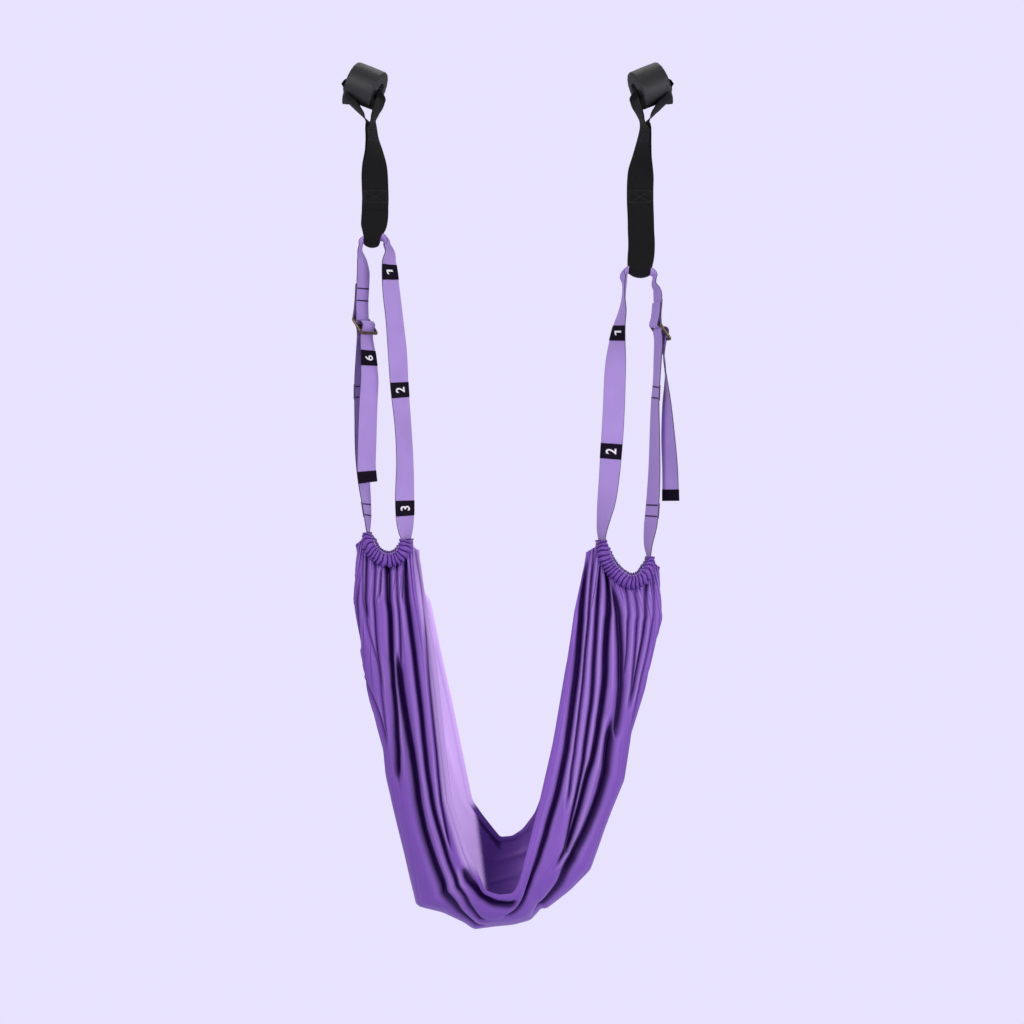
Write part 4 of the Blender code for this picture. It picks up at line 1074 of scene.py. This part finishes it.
def make_roller(name):
    """The fabric cover over the foam sleeve: a turned profile with crowned barrel and piped ends.

    A point is centre + axis * height + reach * (cos a * e1 + sin a * e2). The reach takes in the
    crown, small puckers near both ends and a lengthwise seam.
    """
    side, radius, half = SIDES[name], mm("roller_radius"), mm("roller_length") / 2
    lip, rim = CORE_RADIUS + 0.3, 3.0
    corner = np.radians(np.linspace(0, 90, 7))
    end_height = np.concatenate([
        np.linspace(1.5, half - rim - 1.5, 11), half - rim + rim * np.sin(corner),
        half + np.linspace(0.1, 0.8, 6), [half + 0.7, half, half - 3],
    ])
    end_radius = np.concatenate([
        np.full(11, radius), radius - rim + rim * np.cos(corner),
        np.linspace(radius - rim - 1, lip + 2.2, 6), [lip + 1.0, lip, lip],
    ])
    height = np.concatenate([-end_height[::-1], [0.0], end_height])
    profile = np.concatenate([end_radius[::-1], [radius], end_radius])
    angle = ring_angles(ROLLER_SIDES)
    share = np.clip((profile - lip) / (radius - lip), 0, 1)[:, None]
    near_end = np.exp(-((half - np.abs(height)) / 6.0) ** 2)[:, None] * share
    pucker = near_end * (
        0.28 * np.sin(angle * 17 + 0.7) + 0.2 * np.sin(angle * 29 + 2.0)
        + 0.14 * np.sin(angle * 41))
    seam = 0.5 * np.exp(-((angle - math.radians(200)) / math.radians(2.4)) ** 2) * share
    soft = 0.25 * np.sin(angle * 3 + 1.0) * np.cos(height / half * 1.4)[:, None] * share
    crown = -0.5 * (height / half)[:, None] ** 2 * share
    reach = profile[:, None] + pucker + seam + soft + crown
    axis = roller_axis(side)
    first = unit(np.cross(axis, [0.0, 1.0, 0.0]))
    around = np.cos(angle)[:, None] * first + np.sin(angle)[:, None] * np.cross(axis, first)
    points = np.array(side["roller"]) + height[:, None, None] * axis + reach[..., None] * around
    cover = new_piece(
        f"{name}_roller_sleeve", points, tube(*points.shape[:2], looped=True), roller_fabric(),
        side["mirror"], uv=spread(angle * radius, height + profile), sharp=70.0)
    dress(
        cover, "roller_fabric", f"{name}_roller_cover", f"{name}_roller_foam",
        body=f"{name}_roller")
    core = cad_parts[f"{name}_roller_core"]
    core.data.materials.clear()
    core.data.materials.append(core_plastic())


def make_black_strap(name):
    """The doubled black strap through the roller and round its bottom loop, with its stitching."""
    mirror, width, thick = SIDES[name]["mirror"], mm("black_width"), mm("black_thick")
    run, front_top = black_run(name)
    strap = band(
        f"{name}_black_strap", run, width, thick, (0, lengths_along(run)[-1] - 0.01),
        black_webbing(), mirror, columns=22)
    dress(strap, "black_webbing", f"{name}_anchor_webbing", f"{name}_door_strap")
    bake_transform(strap)
    hinge = distance_at_height(run, DOOR_EDGE_Z, front_top)
    for title, node, body, start in (
        ("junction_stitching", "anchor_stitches", "door_anchors", front_top + 2),
        ("strap_stitching", "door_strap_stitches", "door_straps", hinge + 6),
    ):
        lines = box_lines(run, width, start, start + 20, thick / 2 + 0.1)
        sewn = sew(f"{name}_{title}", lines, black_thread(), mirror)
        dress(sewn, "black_thread", f"{name}_{node}", body=body)


def make_webbing(name):
    """The numbered webbing: upper strand, loop, feed strand, folded end, bight and tail."""
    side, width, thick = SIDES[name], mm("purple_width"), mm("purple_thick")
    mirror, adjuster = side["mirror"], f"{name}_adjuster"
    run, cuts, _ = purple_run(name)

    def strap(title, line, span, *nodes, body=None):
        piece = band(f"{name}_{title}", line, width, thick, span, purple_webbing(), mirror)
        return dress(piece, "purple_webbing", *(f"{name}_{node}" for node in nodes), body=body)

    def place(distance, drop=0.0):
        point = rows_at(run, lengths_along(run), [distance])[0, :3] * (mirror, 1.0, 1.0)
        return tuple((point + (0, 0, -drop)) * MM)

    upper = strap("upper_webbing", run, (0, cuts[0]), "adjuster_strand")
    place(cuts[0])
    place(4.0)
    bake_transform(upper)
    strap("loop_webbing", run, (cuts[0], cuts[1]), "strap_loop", body="sling")
    feed = strap("feed_webbing", run, (cuts[1], cuts[2]), "feed_strand")
    place(cuts[1])
    place(cuts[2], 3.0)
    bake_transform(feed)
    loose = strap("tail_webbing", run, (cuts[2], cuts[4] - 0.5), "threaded_bight", "tail")
    top = place(cuts[3])
    top[2] - 0.02
    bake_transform(loose)
    wrap = folded_run(name)
    strap("folded_end", wrap, (0, lengths_along(wrap)[-1]), "sewn_end", body=adjuster)
    lines = bar_lines(wrap, width, side["sewn_rows"], (thick / 2 + 0.15) * side["fold"])
    sewn = sew(f"{name}_folded_end_stitching", lines, purple_thread(), mirror, *BAR_STITCH)
    dress(sewn, "purple_thread", f"{name}_sewn_end_stitches", body=adjuster)


def make_numbers(name):
    """Woven labels with their figures, the stitching of labels 4 and 5, and the tail's tape."""
    width, thick, mirror = mm("purple_width"), mm("purple_thick"), SIDES[name]["mirror"]
    run, cuts, labels = purple_run(name)
    half, lift = mm("label_length") / 2, thick / 2 + 0.35
    for number, spot in enumerate(labels, 1):
        body = "sling" if number < 6 else f"{name}_tail"
        label = band(
            f"{name}_number_{number}", run, width + 0.3, 0.7, (spot - half, spot + half),
            label_fabric(), mirror, lift=lift)
        dress(label, "label", f"{name}_label_{number}", body=body)
        figure = figure_on(run, spot, str(number), lift + 0.35, f"{name}_figure_{number}", mirror)
        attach(figure, body)
    for number, spot in enumerate(labels[3:5], 4):
        lines = bar_lines(run, width, (spot - 9.3, spot + 9.3), -(thick / 2 + 0.2))
        bars = sew(f"{name}_number_{number}_stitching", lines, purple_thread(), mirror, *BAR_STITCH)
        dress(bars, "purple_thread", f"{name}_label_{number}_stitches", body="sling")
    tip = run[-1].copy()
    tip[:3] += frames(run)[0][-1] * 2.5
    tape = band(
        f"{name}_tail_tape", np.concatenate([run, [tip]]), width + 1.2, thick + 1.7,
        (cuts[4] - TAB_LENGTH, cuts[4] + 1.4), label_fabric(), mirror)
    dress(tape, "label", f"{name}_tail_tab", body=f"{name}_tail")


def figure_on(run, spot, text, lift, title, mirror):
    """A figure turned a quarter, laid on the strap's face: top across it, foot-line along it.

    A flat point (a, b) of the figure goes to the strap's place at distance spot - a, moved by b
    across it, and its height goes along the facing direction.
    """
    tall = mm("digit_height")
    if text == "1":
        curve = bpy.data.curves.new(title, "CURVE")
        curve.dimensions, curve.fill_mode = "2D", "BOTH"
        outline = curve.splines.new("POLY")
        outline.points.add(len(FIGURE_ONE) - 1)
        for point, (right, up) in zip(outline.points, FIGURE_ONE):
            point.co = (right * tall, up * tall, 0.0, 1.0)
        outline.use_cyclic_u = True
    else:
        curve = bpy.data.curves.new(title, "FONT")
        curve.body, curve.size = text, tall / 0.72
        curve.offset, curve.resolution_u = 0.45, 6
    curve.extrude = 0.15
    source, scene = bpy.data.objects.new(title, curve), bpy.context.scene
    scene.collection.objects.link(source)
    seen = source.evaluated_get(bpy.context.evaluated_depsgraph_get())
    mesh = bpy.data.meshes.new_from_object(seen)
    bpy.data.objects.remove(source)
    flat = np.empty(len(mesh.vertices) * 3)
    mesh.vertices.foreach_get("co", flat)
    flat = flat.reshape(-1, 3)
    flat[:, :2] -= (flat[:, :2].min(0) + flat[:, :2].max(0)) / 2
    flat[:, 0] *= 1.0 if text == "1" else 0.78
    along, spots = lengths_along(run), spot - flat[:, 0]
    _, wide, facing = frames(run)
    wide, facing = unit(rows_at(wide, along, spots)), unit(rows_at(facing, along, spots))
    points = rows_at(run, along, spots)[:, :3] - wide * (flat[:, 1] * mirror)[:, None]
    points = (points + facing * (lift + flat[:, 2])[:, None]) * (mirror, 1.0, 1.0) * MM
    mesh.vertices.foreach_set("co", points.ravel())
    mesh.name = title
    mesh.materials.clear()
    mesh.materials.append(digit_thread())
    mesh.update()
    figure = bpy.data.objects.new(title, mesh)
    scene.collection.objects.link(figure)
    return figure


def make_buckle(name):
    """The three-bar buckle: one round rod bent into a frame, and the bar across its middle."""
    side = SIDES[name]
    forward, drop = lean()
    wide, _, _ = buckle_frame(side)
    corner, outline = 4.0, []
    for sign_across, sign_drop, begin in ((1, 1, 0), (-1, 1, 90), (-1, -1, 180), (1, -1, 270)):
        for angle in np.radians(np.linspace(begin, begin + 90, 9)):
            across = sign_across * (BUCKLE_HALF_WIDTH - corner) + corner * math.cos(angle)
            share = (sign_drop * (BAR_SPACING - corner) + corner * math.sin(angle)) / BAR_SPACING
            outline.append(at_buckle(side, forward * share, drop * share, across))
    flat = np.cross(wide, unit(at_buckle(side, forward, drop) - np.array(side["buckle"])))
    reach = BUCKLE_HALF_WIDTH - 0.4
    bar = [at_buckle(side, 0, 0, step) for step in np.linspace(-reach, reach, 9)]
    shells, groups, total = [], [], 0
    for line, thick, looped in ((outline, 1.3, True), (bar, 0.9, False)):
        rings = rod_rings(np.array(line), flat, BAR_RADIUS * thick, ROD_SIDES, looped)
        shells.append((rings * (side["mirror"], 1, 1)).reshape(-1, 3))
        faces = turned_out(shells[-1], tube(len(line), ROD_SIDES, looped))
        groups += [face + total for face in faces]
        total += len(shells[-1])
    buckle = new_piece(
        f"{name}_slide_buckle", np.concatenate(shells), groups, buckle_metal(), closed=False)
    dress(buckle, "buckle_metal", f"{name}_buckle", body=f"{name}_adjuster")


@lru_cache(maxsize=None)
def casing_path(name, count=241):
    """Evenly spaced rows of the stretch of webbing that the casing covers, and their facing."""
    side = SIDES[name]
    run, _, _ = purple_run(name)
    along = lengths_along(run)
    start, end = (
        along[np.argmin(np.linalg.norm(run[:, :3] - np.array(side["bend"][pick][:3]), axis=1))]
        for pick in (0, -1)
    )
    path = rows_at(run, along, np.linspace(start, end, count))
    return path, frames(path)


def make_casing(name):
    """The gathered tube of cloth round the bend of the webbing, and the seam along it.

    At distance s and angle a round the webbing the tube reaches |cos a|^0.8 across and |sin a|^0.8
    up of its half size plus ruffles: |sin|^0.6 and |sin|^0.8 of phases that run along s and bend
    with a. It narrows at both mouths, and an inner wall closes it.
    """
    side, scene = SIDES[name], bpy.context.scene
    path, (_, wide, facing) = casing_path(name)
    along = lengths_along(path)
    ruffles = scene.strap_sizes.ruffles * along[-1] / CASING_LENGTH
    step = np.linspace(0, 1, len(path))[:, None]
    angle = ring_angles(CASING_SIDES)[None]
    flat, tall = (np.sign(wave) * np.abs(wave) ** 0.8 for wave in (np.cos(angle), np.sin(angle)))
    bend = (
        1.1 * np.sin(2 * angle + 1.0 + 5 * step) + 0.5 * np.sin(3 * angle + 9 * step)
        + 0.9 * np.sin(7 * step + angle) + 0.8 * np.sin(19 * step)
    )
    phase = math.pi * ruffles * step + bend
    crest = np.abs(np.sin(phase)) ** 0.6
    small = np.abs(np.sin(phase * 2.3 + 2 * np.sin(angle) + 3 * step)) ** 0.8
    lower = ease((tall + 1) / 2)
    ruffle = (crest - 0.62) * (3.6 + 1.8 * lower) + (small - 0.6) * 1.3
    mouth = 1 - ease(step / MOUTH) * ease((1 - step) / MOUTH)
    deep = (CASING_HALF_DEPTH + ruffle - 2.0 * mouth) * flat
    high = (CASING_INNER + (CASING_OUTER - CASING_INNER) * lower + ruffle - 7.0 * mouth) * tall
    outer, inner = (
        path[:, None, :3] + (deep * across)[..., None] * wide[:, None]
        + (high * up)[..., None] * facing[:, None] for across, up in ((1.0, 1.0), (0.93, 0.8))
    )
    points = np.concatenate([outer, inner[::-1]])
    # Painted shade in the ruffles' creases, on the tube's inner side and all over the inner wall
    valley = (
        ease((0.62 - crest) / 0.5) + ease((0.45 - small) / 0.45) * 0.45
        + ease((-0.72 - tall) / 0.28) * 0.5
    )
    fold = np.concatenate([valley, np.ones_like(valley)])
    casing = new_piece(
        f"{name}_ruffled_casing", points, tube(*points.shape[:2], looped=True), hammock_satin(),
        side["mirror"],
        uv=spread(np.arange(CASING_SIDES) * 2.2, np.concatenate([along, along[::-1]])),
        values={"fold": np.clip(fold, 0, 1), "thin": np.zeros_like(fold)}, sharp=75.0)
    dress(casing, "hammock_fabric", f"{name}_casing", body="sling")
    middle, lines = slice(32, -32), []
    for turn in np.radians((28.0, 34.0)):
        out = -wide[middle] * math.cos(turn) - facing[middle] * math.sin(turn)
        stand = -wide[middle] * (CASING_HALF_DEPTH + 1.6) * math.cos(turn) ** 0.8
        rise = facing[middle] * (CASING_INNER + 1.6) * math.sin(turn) ** 0.8
        lines.append((path[middle, :3] + stand - rise, out))
    seam = sew(f"{name}_casing_seam", lines, pale_thread(), side["mirror"])
    dress(seam, "purple_thread", f"{name}_casing_stitches", body="sling")


def top_edge(name, across):
    """The hammock's top edge: round below the casing, and out to a corner at both its ends."""
    side = SIDES[name]
    path, (_, _, facing) = casing_path(name)
    step = np.linspace(0, 1, len(path))[:, None]
    stand = 1.5 + (TOP_EDGE_STAND - 1.5) * ease(step / MOUTH) * ease((1 - step) / MOUTH)
    rim = (path[:, :3] + facing * stand)[10:-10]
    near, far = ([(x, 0, z)] for x, z in side["corners"])
    line = np.concatenate([near, rim, far])
    along = lengths_along(line)
    return rows_at(line, along, across * along[-1]) * (side["mirror"], 1.0, 1.0)


def guide(line, along, passes):
    """A guide at each share of the way: linear between its points, then averaged."""
    line, fine = np.array(line, float), np.linspace(0, 1, 801)
    values = np.stack([np.interp(fine, line[:, 0], column) for column in line.T[1:]], axis=1)
    averaged(values, passes)
    return np.stack([np.interp(along, fine, column)[:, None] for column in values.T])


def hammock_surface(across, along):
    """The hammock's middle surface: a trough hung from both casings and folded lengthwise.

    `across` runs from the near hem to the far one and `along` from the left casing to the right.
    On each side of the outer fold line the section is a quarter of an ellipse out to the rim, and
    near a casing it turns into its edge.
    """
    (ox, oz), (nx, nz), (fx, fz) = (
        guide(line, along, passes)
        for line, passes in ((OUTER_LINE, 5), (NEAR_RIM, 50), (FAR_RIM, 50)))
    forward, back, share = guide(DEPTHS, along, 300)
    share = np.clip(share, 0.05, 0.995)
    u = across[None, :]
    near_side = u <= share
    reach = np.where(near_side, (share - u) / share, (u - share) / (1 - share)) ** 0.8
    rise, stand = 1 - np.cos(reach * math.pi / 2), np.sin(reach * math.pi / 2)
    x = ox + (np.where(near_side, nx, fx) - ox) * rise
    z = oz + (np.where(near_side, nz, fz) - oz) * rise
    y = np.where(near_side, -forward, back) * stand
    trough = np.stack([x, y, z], axis=-1)
    left = (1 - ease(along / GATHER_END))[:, None, None]
    right = (1 - ease((1 - along) / GATHER_END))[:, None, None]
    tops = top_edge("left", across), top_edge("right", across)
    return trough * (1 - left - right) + tops[0][None] * left + tops[1][None] * right, share


def even_line(points, gap):
    """A line through points on a plane, cut into even steps and rounded at its corners."""
    points = np.array(points, float)
    along = lengths_along(points)
    steps = np.linspace(0, along[-1], max(3, int(along[-1] / gap)))
    return averaged(rows_at(points, along, steps), 4)


def fold_field(surface, across, along, share):
    """How far the cloth lies behind its middle surface, in millimetres, and how much painted shade
    a fold gets.

    Each valley is exp(-(d / w)^1.2) of the distance d across it, a crease between rounded ridges,
    faded at its ends. Between them lie gathers: 27 small creases across the cloth at each casing,
    which fade out, and 12 wider ones down each leg, both (1 - |sin|) to a power.
    """
    u, v = across[None, :], along[:, None]
    near = u <= share
    pull = np.zeros(surface.shape[:2])
    wide = np.linalg.norm(np.gradient(surface, across, axis=1), axis=-1)
    flat = surface[..., [0, 2]]
    for depth, half, fade, line in VALLEYS:
        line = even_line(line, 6.0)
        gap = np.linalg.norm(flat - line[:, None, None], axis=-1) + np.where(near, 0, 1e4)
        rows, columns = np.unravel_index(gap.reshape(len(line), -1).argmin(1), flat.shape[:2])
        order = np.argsort(along[rows])
        rows, columns = rows[order], columns[order]
        at_v = along[rows]
        centre = averaged(np.interp(along, at_v, across[columns]), 12)[:, None]
        scale = np.interp(along, at_v, wide[rows, columns])[:, None]
        strength = ease((v - at_v[0]) / fade + 1) * ease((at_v[-1] - v) / fade + 1)
        valley = np.exp(-(np.abs(u - centre) * scale / half) ** 1.2)
        pull = np.maximum(pull, depth * 1.15 * strength * valley)
    end = np.minimum(v, 1 - v)
    gather = np.exp(-(end / 0.05) ** 1.5)
    drift = 0.9 * np.sin(9 * v + 1) + 0.5 * np.sin(23 * v)
    fine = 1 - np.abs(np.sin(math.pi * 27 * u + drift + 1.5 * np.sin(6 * u)))
    middle = 1 - np.abs(np.sin(math.pi * 12 * u + 0.7 * drift + 2.0 * np.sin(3.1 * u + 4 * v)))
    legs = ease(end / 0.03) * (0.35 + 0.65 * np.exp(-(end / 0.22) ** 2))
    side = np.where(near, 0.5, 1.0)
    generic = 5.5 * gather * fine**1.7 + 6.0 * legs * side * middle**2.4
    rim = ease(np.minimum(u, 1 - u) / 0.03)
    pull = np.maximum(pull, generic) * (0.35 + 0.65 * rim)
    # The second value is the share of painted shade, more in deeper folds
    return pull, ease((pull - 1.8) / 6.5)


def single_cloth(surface, across, along, share):
    """Painted light on the cloth, its glow where light shines through, and a painted shade strip.

    It is painted pale where one layer lets light through, inside the left leg up to its crease,
    and at the near hem. A strip of painted shade lies below the far rim, right of that crease.
    """
    x, z = surface[..., 0], surface[..., 2]
    far = ease((across[None] - share - 0.01) / 0.02)
    left = ease((0.47 - along[:, None]) / 0.04)
    crease = -58.0 - 0.127 * (z + 1169.0)
    above = ease((z + 1160.0) / 14)
    # Painted light and glow where light shines through the single far layer of the left leg
    inside = far * left * np.maximum(ease((crease - x) / 8 + 1), above)
    # Painted light along the near hem
    hem = 0.8 * ease((0.10 - across[None]) / 0.05) * ease((0.40 - along[:, None]) / 0.05)
    rim = ((x + 60.8) * 62.0 + (z + 1156.0) * 47.3) / 78.0
    # Painted shade in a strip below the far rim
    strip = ease((x - crease) / 5) * ease((rim + 15) / 4) * ease((-8 - x) / 4)
    return np.maximum(inside, hem), inside, far * left * (1 - above) * strip


def make_hammock():
    """The hammock's panel with its folds, and a rolled hem along each of its long edges."""
    columns, rows = CLOTH_GRID
    step = np.linspace(0, 1, columns)
    across, along = 0.82 * step + 0.18 * step**3, np.linspace(0, 1, rows)
    surface, share = hammock_surface(across, along)
    down, over = np.gradient(surface, axis=0), np.gradient(surface, axis=1)
    normal = unit(np.cross(down, over))
    if normal[rows // 4, columns // 4, 1] > 0:
        normal = -normal
    for _ in range(12):
        normal[:, 1:-1] = unit(normal[:, 1:-1] * 2 + normal[:, :-2] + normal[:, 2:])
        normal[1:-1] = unit(normal[1:-1] * 2 + normal[:-2] + normal[2:])
    pull, fold = fold_field(surface, across, along, share)
    cloth = surface - normal * (pull - RIDGE)[..., None]
    thin, shine, strip = single_cloth(surface, across, along, share)
    # Painted highlight on ridges that stand proud of the cloth beside them
    near_pull = averaged(pull.T.copy(), 40).T
    thin = np.maximum(thin, 0.4 * ease((near_pull - pull) / 2.5) * (across[None] < share))
    # Painted shade deep in the folds, less where light is painted, and in the strip below the far
    # rim
    fold = np.maximum(fold * (1 - 0.75 * thin), 0.8 * strip)
    panel = new_piece(
        "hammock_cloth", cloth, [grid_quads(rows, columns)], hammock_satin(),
        uv=spread(across * 400.0, along * 1250.0),
        values={"fold": fold, "thin": thin, "shine": shine}, sharp=180.0, closed=False)
    wall = panel.modifiers.new("Thickness", "SOLIDIFY")
    wall.thickness, wall.offset = bpy.context.scene.strap_sizes.cloth_thick, 0.0
    dress(panel, "hammock_fabric", "hammock_panel", body="sling")
    for title, edge, inside in (("front", 0, 3), ("rear", -1, -4)):
        line, inner = cloth[6:-6, edge], cloth[6:-6, inside]
        # The hems carry the painted light and glow of the cloth's edge
        tones = {"thin": thin[6:-6, edge], "shine": shine[6:-6, edge]}
        make_hem(title, line, unit(line - inner), tones)


def make_hem(title, line, outward, tones):
    """A rolled hem: an ellipse of the hem's width and thickness carried along the cloth's edge."""
    for _ in range(6):
        outward[1:-1] = unit(outward[1:-1] * 2 + outward[:-2] + outward[2:])
    tangent = unit(np.gradient(line, axis=0))
    outward = unit(outward - tangent * (outward * tangent).sum(1, keepdims=True))
    flat = np.cross(tangent, outward)
    angle = ring_angles(HEM_SIDES)[None, :, None]
    count = len(line)
    spot = np.arange(count)[:, None, None]
    taper = 0.12 + 0.88 * ease(spot / 9) * ease((count - 1 - spot) / 9)
    wide, high = HEM_WIDTH / 2 * taper, HEM_THICK / 2 * taper * (1 + 0.12 * np.sin(spot * 0.27))
    ring = line[:, None] + outward[:, None] * (1.0 - wide + wide * np.cos(angle))
    ring = ring + flat[:, None] * high * np.sin(angle)
    values = {key: np.tile(tone[:, None], (1, HEM_SIDES)) for key, tone in tones.items()}
    hem = new_piece(
        f"{title}_rolled_hem", ring, tube(count, HEM_SIDES), hammock_satin(),
        uv=spread(np.arange(HEM_SIDES) * 1.4, lengths_along(line)), values=values, sharp=70.0)
    return dress(hem, "hammock_fabric", f"{title}_hem", body="sling")


def make_stage():
    """The floor, the even background, three soft lamps and the camera."""
    scene, colour = bpy.context.scene, palette("backdrop")
    stage = scene.strap_stage
    scene.view_settings.view_transform = "Standard"
    paper = Finish("floor_paper", Base_Color=colour, Roughness=0.9)
    seen, glossy = (
        paper.node("ShaderNodeLightPath", output=ray) for ray in ("Is Camera Ray", "Is Glossy Ray"))
    glow = paper.node("ShaderNodeEmission", [colour, 1.0])
    lit = Wire(paper, paper.shader.outputs[0])
    mixed = paper.node("ShaderNodeMixShader", [((seen + glossy) * 0.85).clamped(), lit, glow])
    output = next(node for node in paper.tree.nodes if node.type == "OUTPUT_MATERIAL")
    paper.join(output.inputs["Surface"], mixed)
    ways = ((-1, -1), (1, -1), (1, 1), (-1, 1))
    corners = [(x * FLOOR_REACH, y * FLOOR_REACH, FLOOR_Z) for x, y in ways]
    floor = new_piece("floor", corners, [np.array([[0, 1, 2, 3]])], paper.material, closed=False)

    world = bpy.data.worlds.new("studio")
    world.use_nodes = True
    scene.world, tree = world, world.node_tree
    tree.nodes.clear()
    path, room, wall, mix, end = (
        tree.nodes.new(f"ShaderNode{kind}")
        for kind in ("LightPath", "Background", "Background", "MixShader", "OutputWorld"))
    for shader, light, strength in ((room, (0.95, 0.94, 1.0, 1.0), stage.sky), (wall, colour, 1.0)):
        shader.inputs[0].default_value, shader.inputs[1].default_value = light, strength
    inputs = path.outputs["Is Camera Ray"], room.outputs[0], wall.outputs[0]
    for place, socket in enumerate(inputs):
        tree.links.new(socket, mix.inputs[place])
    tree.links.new(mix.outputs[0], end.inputs[0])

    aim = Vector((stage.centre_x, 0.0, stage.centre_z))
    for title, place, size, power in (
        ("key_lamp", (-1.9, -2.6, 0.9), 1.4, stage.key_power),
        ("fill_lamp", (2.4, -2.2, -0.4), 1.8, stage.fill_power),
        ("top_lamp", (0.3, 0.9, 1.6), 1.6, stage.top_power),
    ):
        lamp = bpy.data.lights.new(title, "AREA")
        lamp.energy, lamp.size = power, size
        obj = bpy.data.objects.new(title, lamp)
        obj.location = place
        obj.rotation_euler = (aim - Vector(place)).to_track_quat("-Z", "Y").to_euler()
        scene.collection.objects.link(obj)

    camera = bpy.data.cameras.new("camera")
    camera.lens, camera.clip_end = stage.lens, 60.0
    distance = stage.frame_width * stage.lens / camera.sensor_width
    view = bpy.data.objects.new("camera", camera)
    view.location = (aim.x, -distance, aim.z)
    view.rotation_euler = (math.pi / 2, 0.0, 0.0)
    scene.collection.objects.link(view)
    scene.camera = view


# Operators and panel --------------------------------------------------------------------------


def both_sides(make):
    """Makes a piece of the left half, then of the right half."""
    for name in SIDES:
        make(name)
    return {"FINISHED"}


class STRAP_OT_rollers(Operator):
    """Make both foam rollers with their fabric covers"""

    bl_idname, bl_label = "strap.rollers", "Rollers"

    def execute(self, context):
        return both_sides(make_roller)


class STRAP_OT_black_straps(Operator):
    """Make both doubled black straps and their stitching"""

    bl_idname, bl_label = "strap.black_straps", "Black Straps"

    def execute(self, context):
        return both_sides(make_black_strap)


class STRAP_OT_webbing(Operator):
    """Make the numbered webbing of both sides"""

    bl_idname, bl_label = "strap.webbing", "Numbered Webbing"

    def execute(self, context):
        return both_sides(make_webbing)


class STRAP_OT_numbers(Operator):
    """Make the number labels, their stitching and the tapes on the tails"""

    bl_idname, bl_label = "strap.numbers", "Number Labels"

    def execute(self, context):
        return both_sides(make_numbers)


class STRAP_OT_buckles(Operator):
    """Make both three-bar buckles"""

    bl_idname, bl_label = "strap.buckles", "Buckles"

    def execute(self, context):
        return both_sides(make_buckle)


class STRAP_OT_casings(Operator):
    """Make both ruffled casings and their seams"""

    bl_idname, bl_label = "strap.casings", "Casings"

    def execute(self, context):
        return both_sides(make_casing)


class STRAP_OT_hammock(Operator):
    """Make the gathered hammock and its rolled hems"""

    bl_idname, bl_label = "strap.hammock", "Hammock"

    def execute(self, context):
        make_hammock()
        return {"FINISHED"}


class STRAP_OT_stage(Operator):
    """Set the floor, background, lamps and camera"""

    bl_idname, bl_label = "strap.stage", "Stage"

    def execute(self, context):
        make_stage()
        return {"FINISHED"}


OPERATORS = (
    STRAP_OT_rollers, STRAP_OT_black_straps, STRAP_OT_webbing, STRAP_OT_numbers, STRAP_OT_buckles,
    STRAP_OT_casings, STRAP_OT_hammock, STRAP_OT_stage,
)


class STRAP_PT_panel(Panel):
    """Sizes, colours and pieces of the door strap"""

    bl_label = "Door Strap"
    bl_idname = "STRAP_PT_panel"
    bl_space_type = "VIEW_3D"
    bl_region_type = "UI"
    bl_category = "Door Strap"

    def draw(self, context):
        layout = self.layout
        for key in GROUPS:
            group = getattr(context.scene, key)
            box = layout.box()
            for setting in group.__annotations__:
                box.prop(group, setting)
        for operator in OPERATORS:
            layout.operator(operator.bl_idname)


CLASSES = (StrapSizes, StrapColours, StageSettings, *OPERATORS, STRAP_PT_panel)
GROUPS = {"strap_sizes": StrapSizes, "strap_colours": StrapColours, "strap_stage": StageSettings}


def register():
    for made in CLASSES:
        bpy.utils.register_class(made)
    for key, group in GROUPS.items():
        setattr(bpy.types.Scene, key, PointerProperty(type=group))


def unregister():
    for key in GROUPS:
        delattr(bpy.types.Scene, key)
    for made in reversed(CLASSES):
        bpy.utils.unregister_class(made)


def main():
    """Makes every piece in order."""
    register()
    bpy.ops.strap.rollers()
    bpy.ops.strap.black_straps()
    bpy.ops.strap.webbing()
    bpy.ops.strap.numbers()
    bpy.ops.strap.buckles()
    bpy.ops.strap.casings()
    bpy.ops.strap.hammock()
    bpy.ops.strap.stage()


if __name__ == "__main__":
    main()
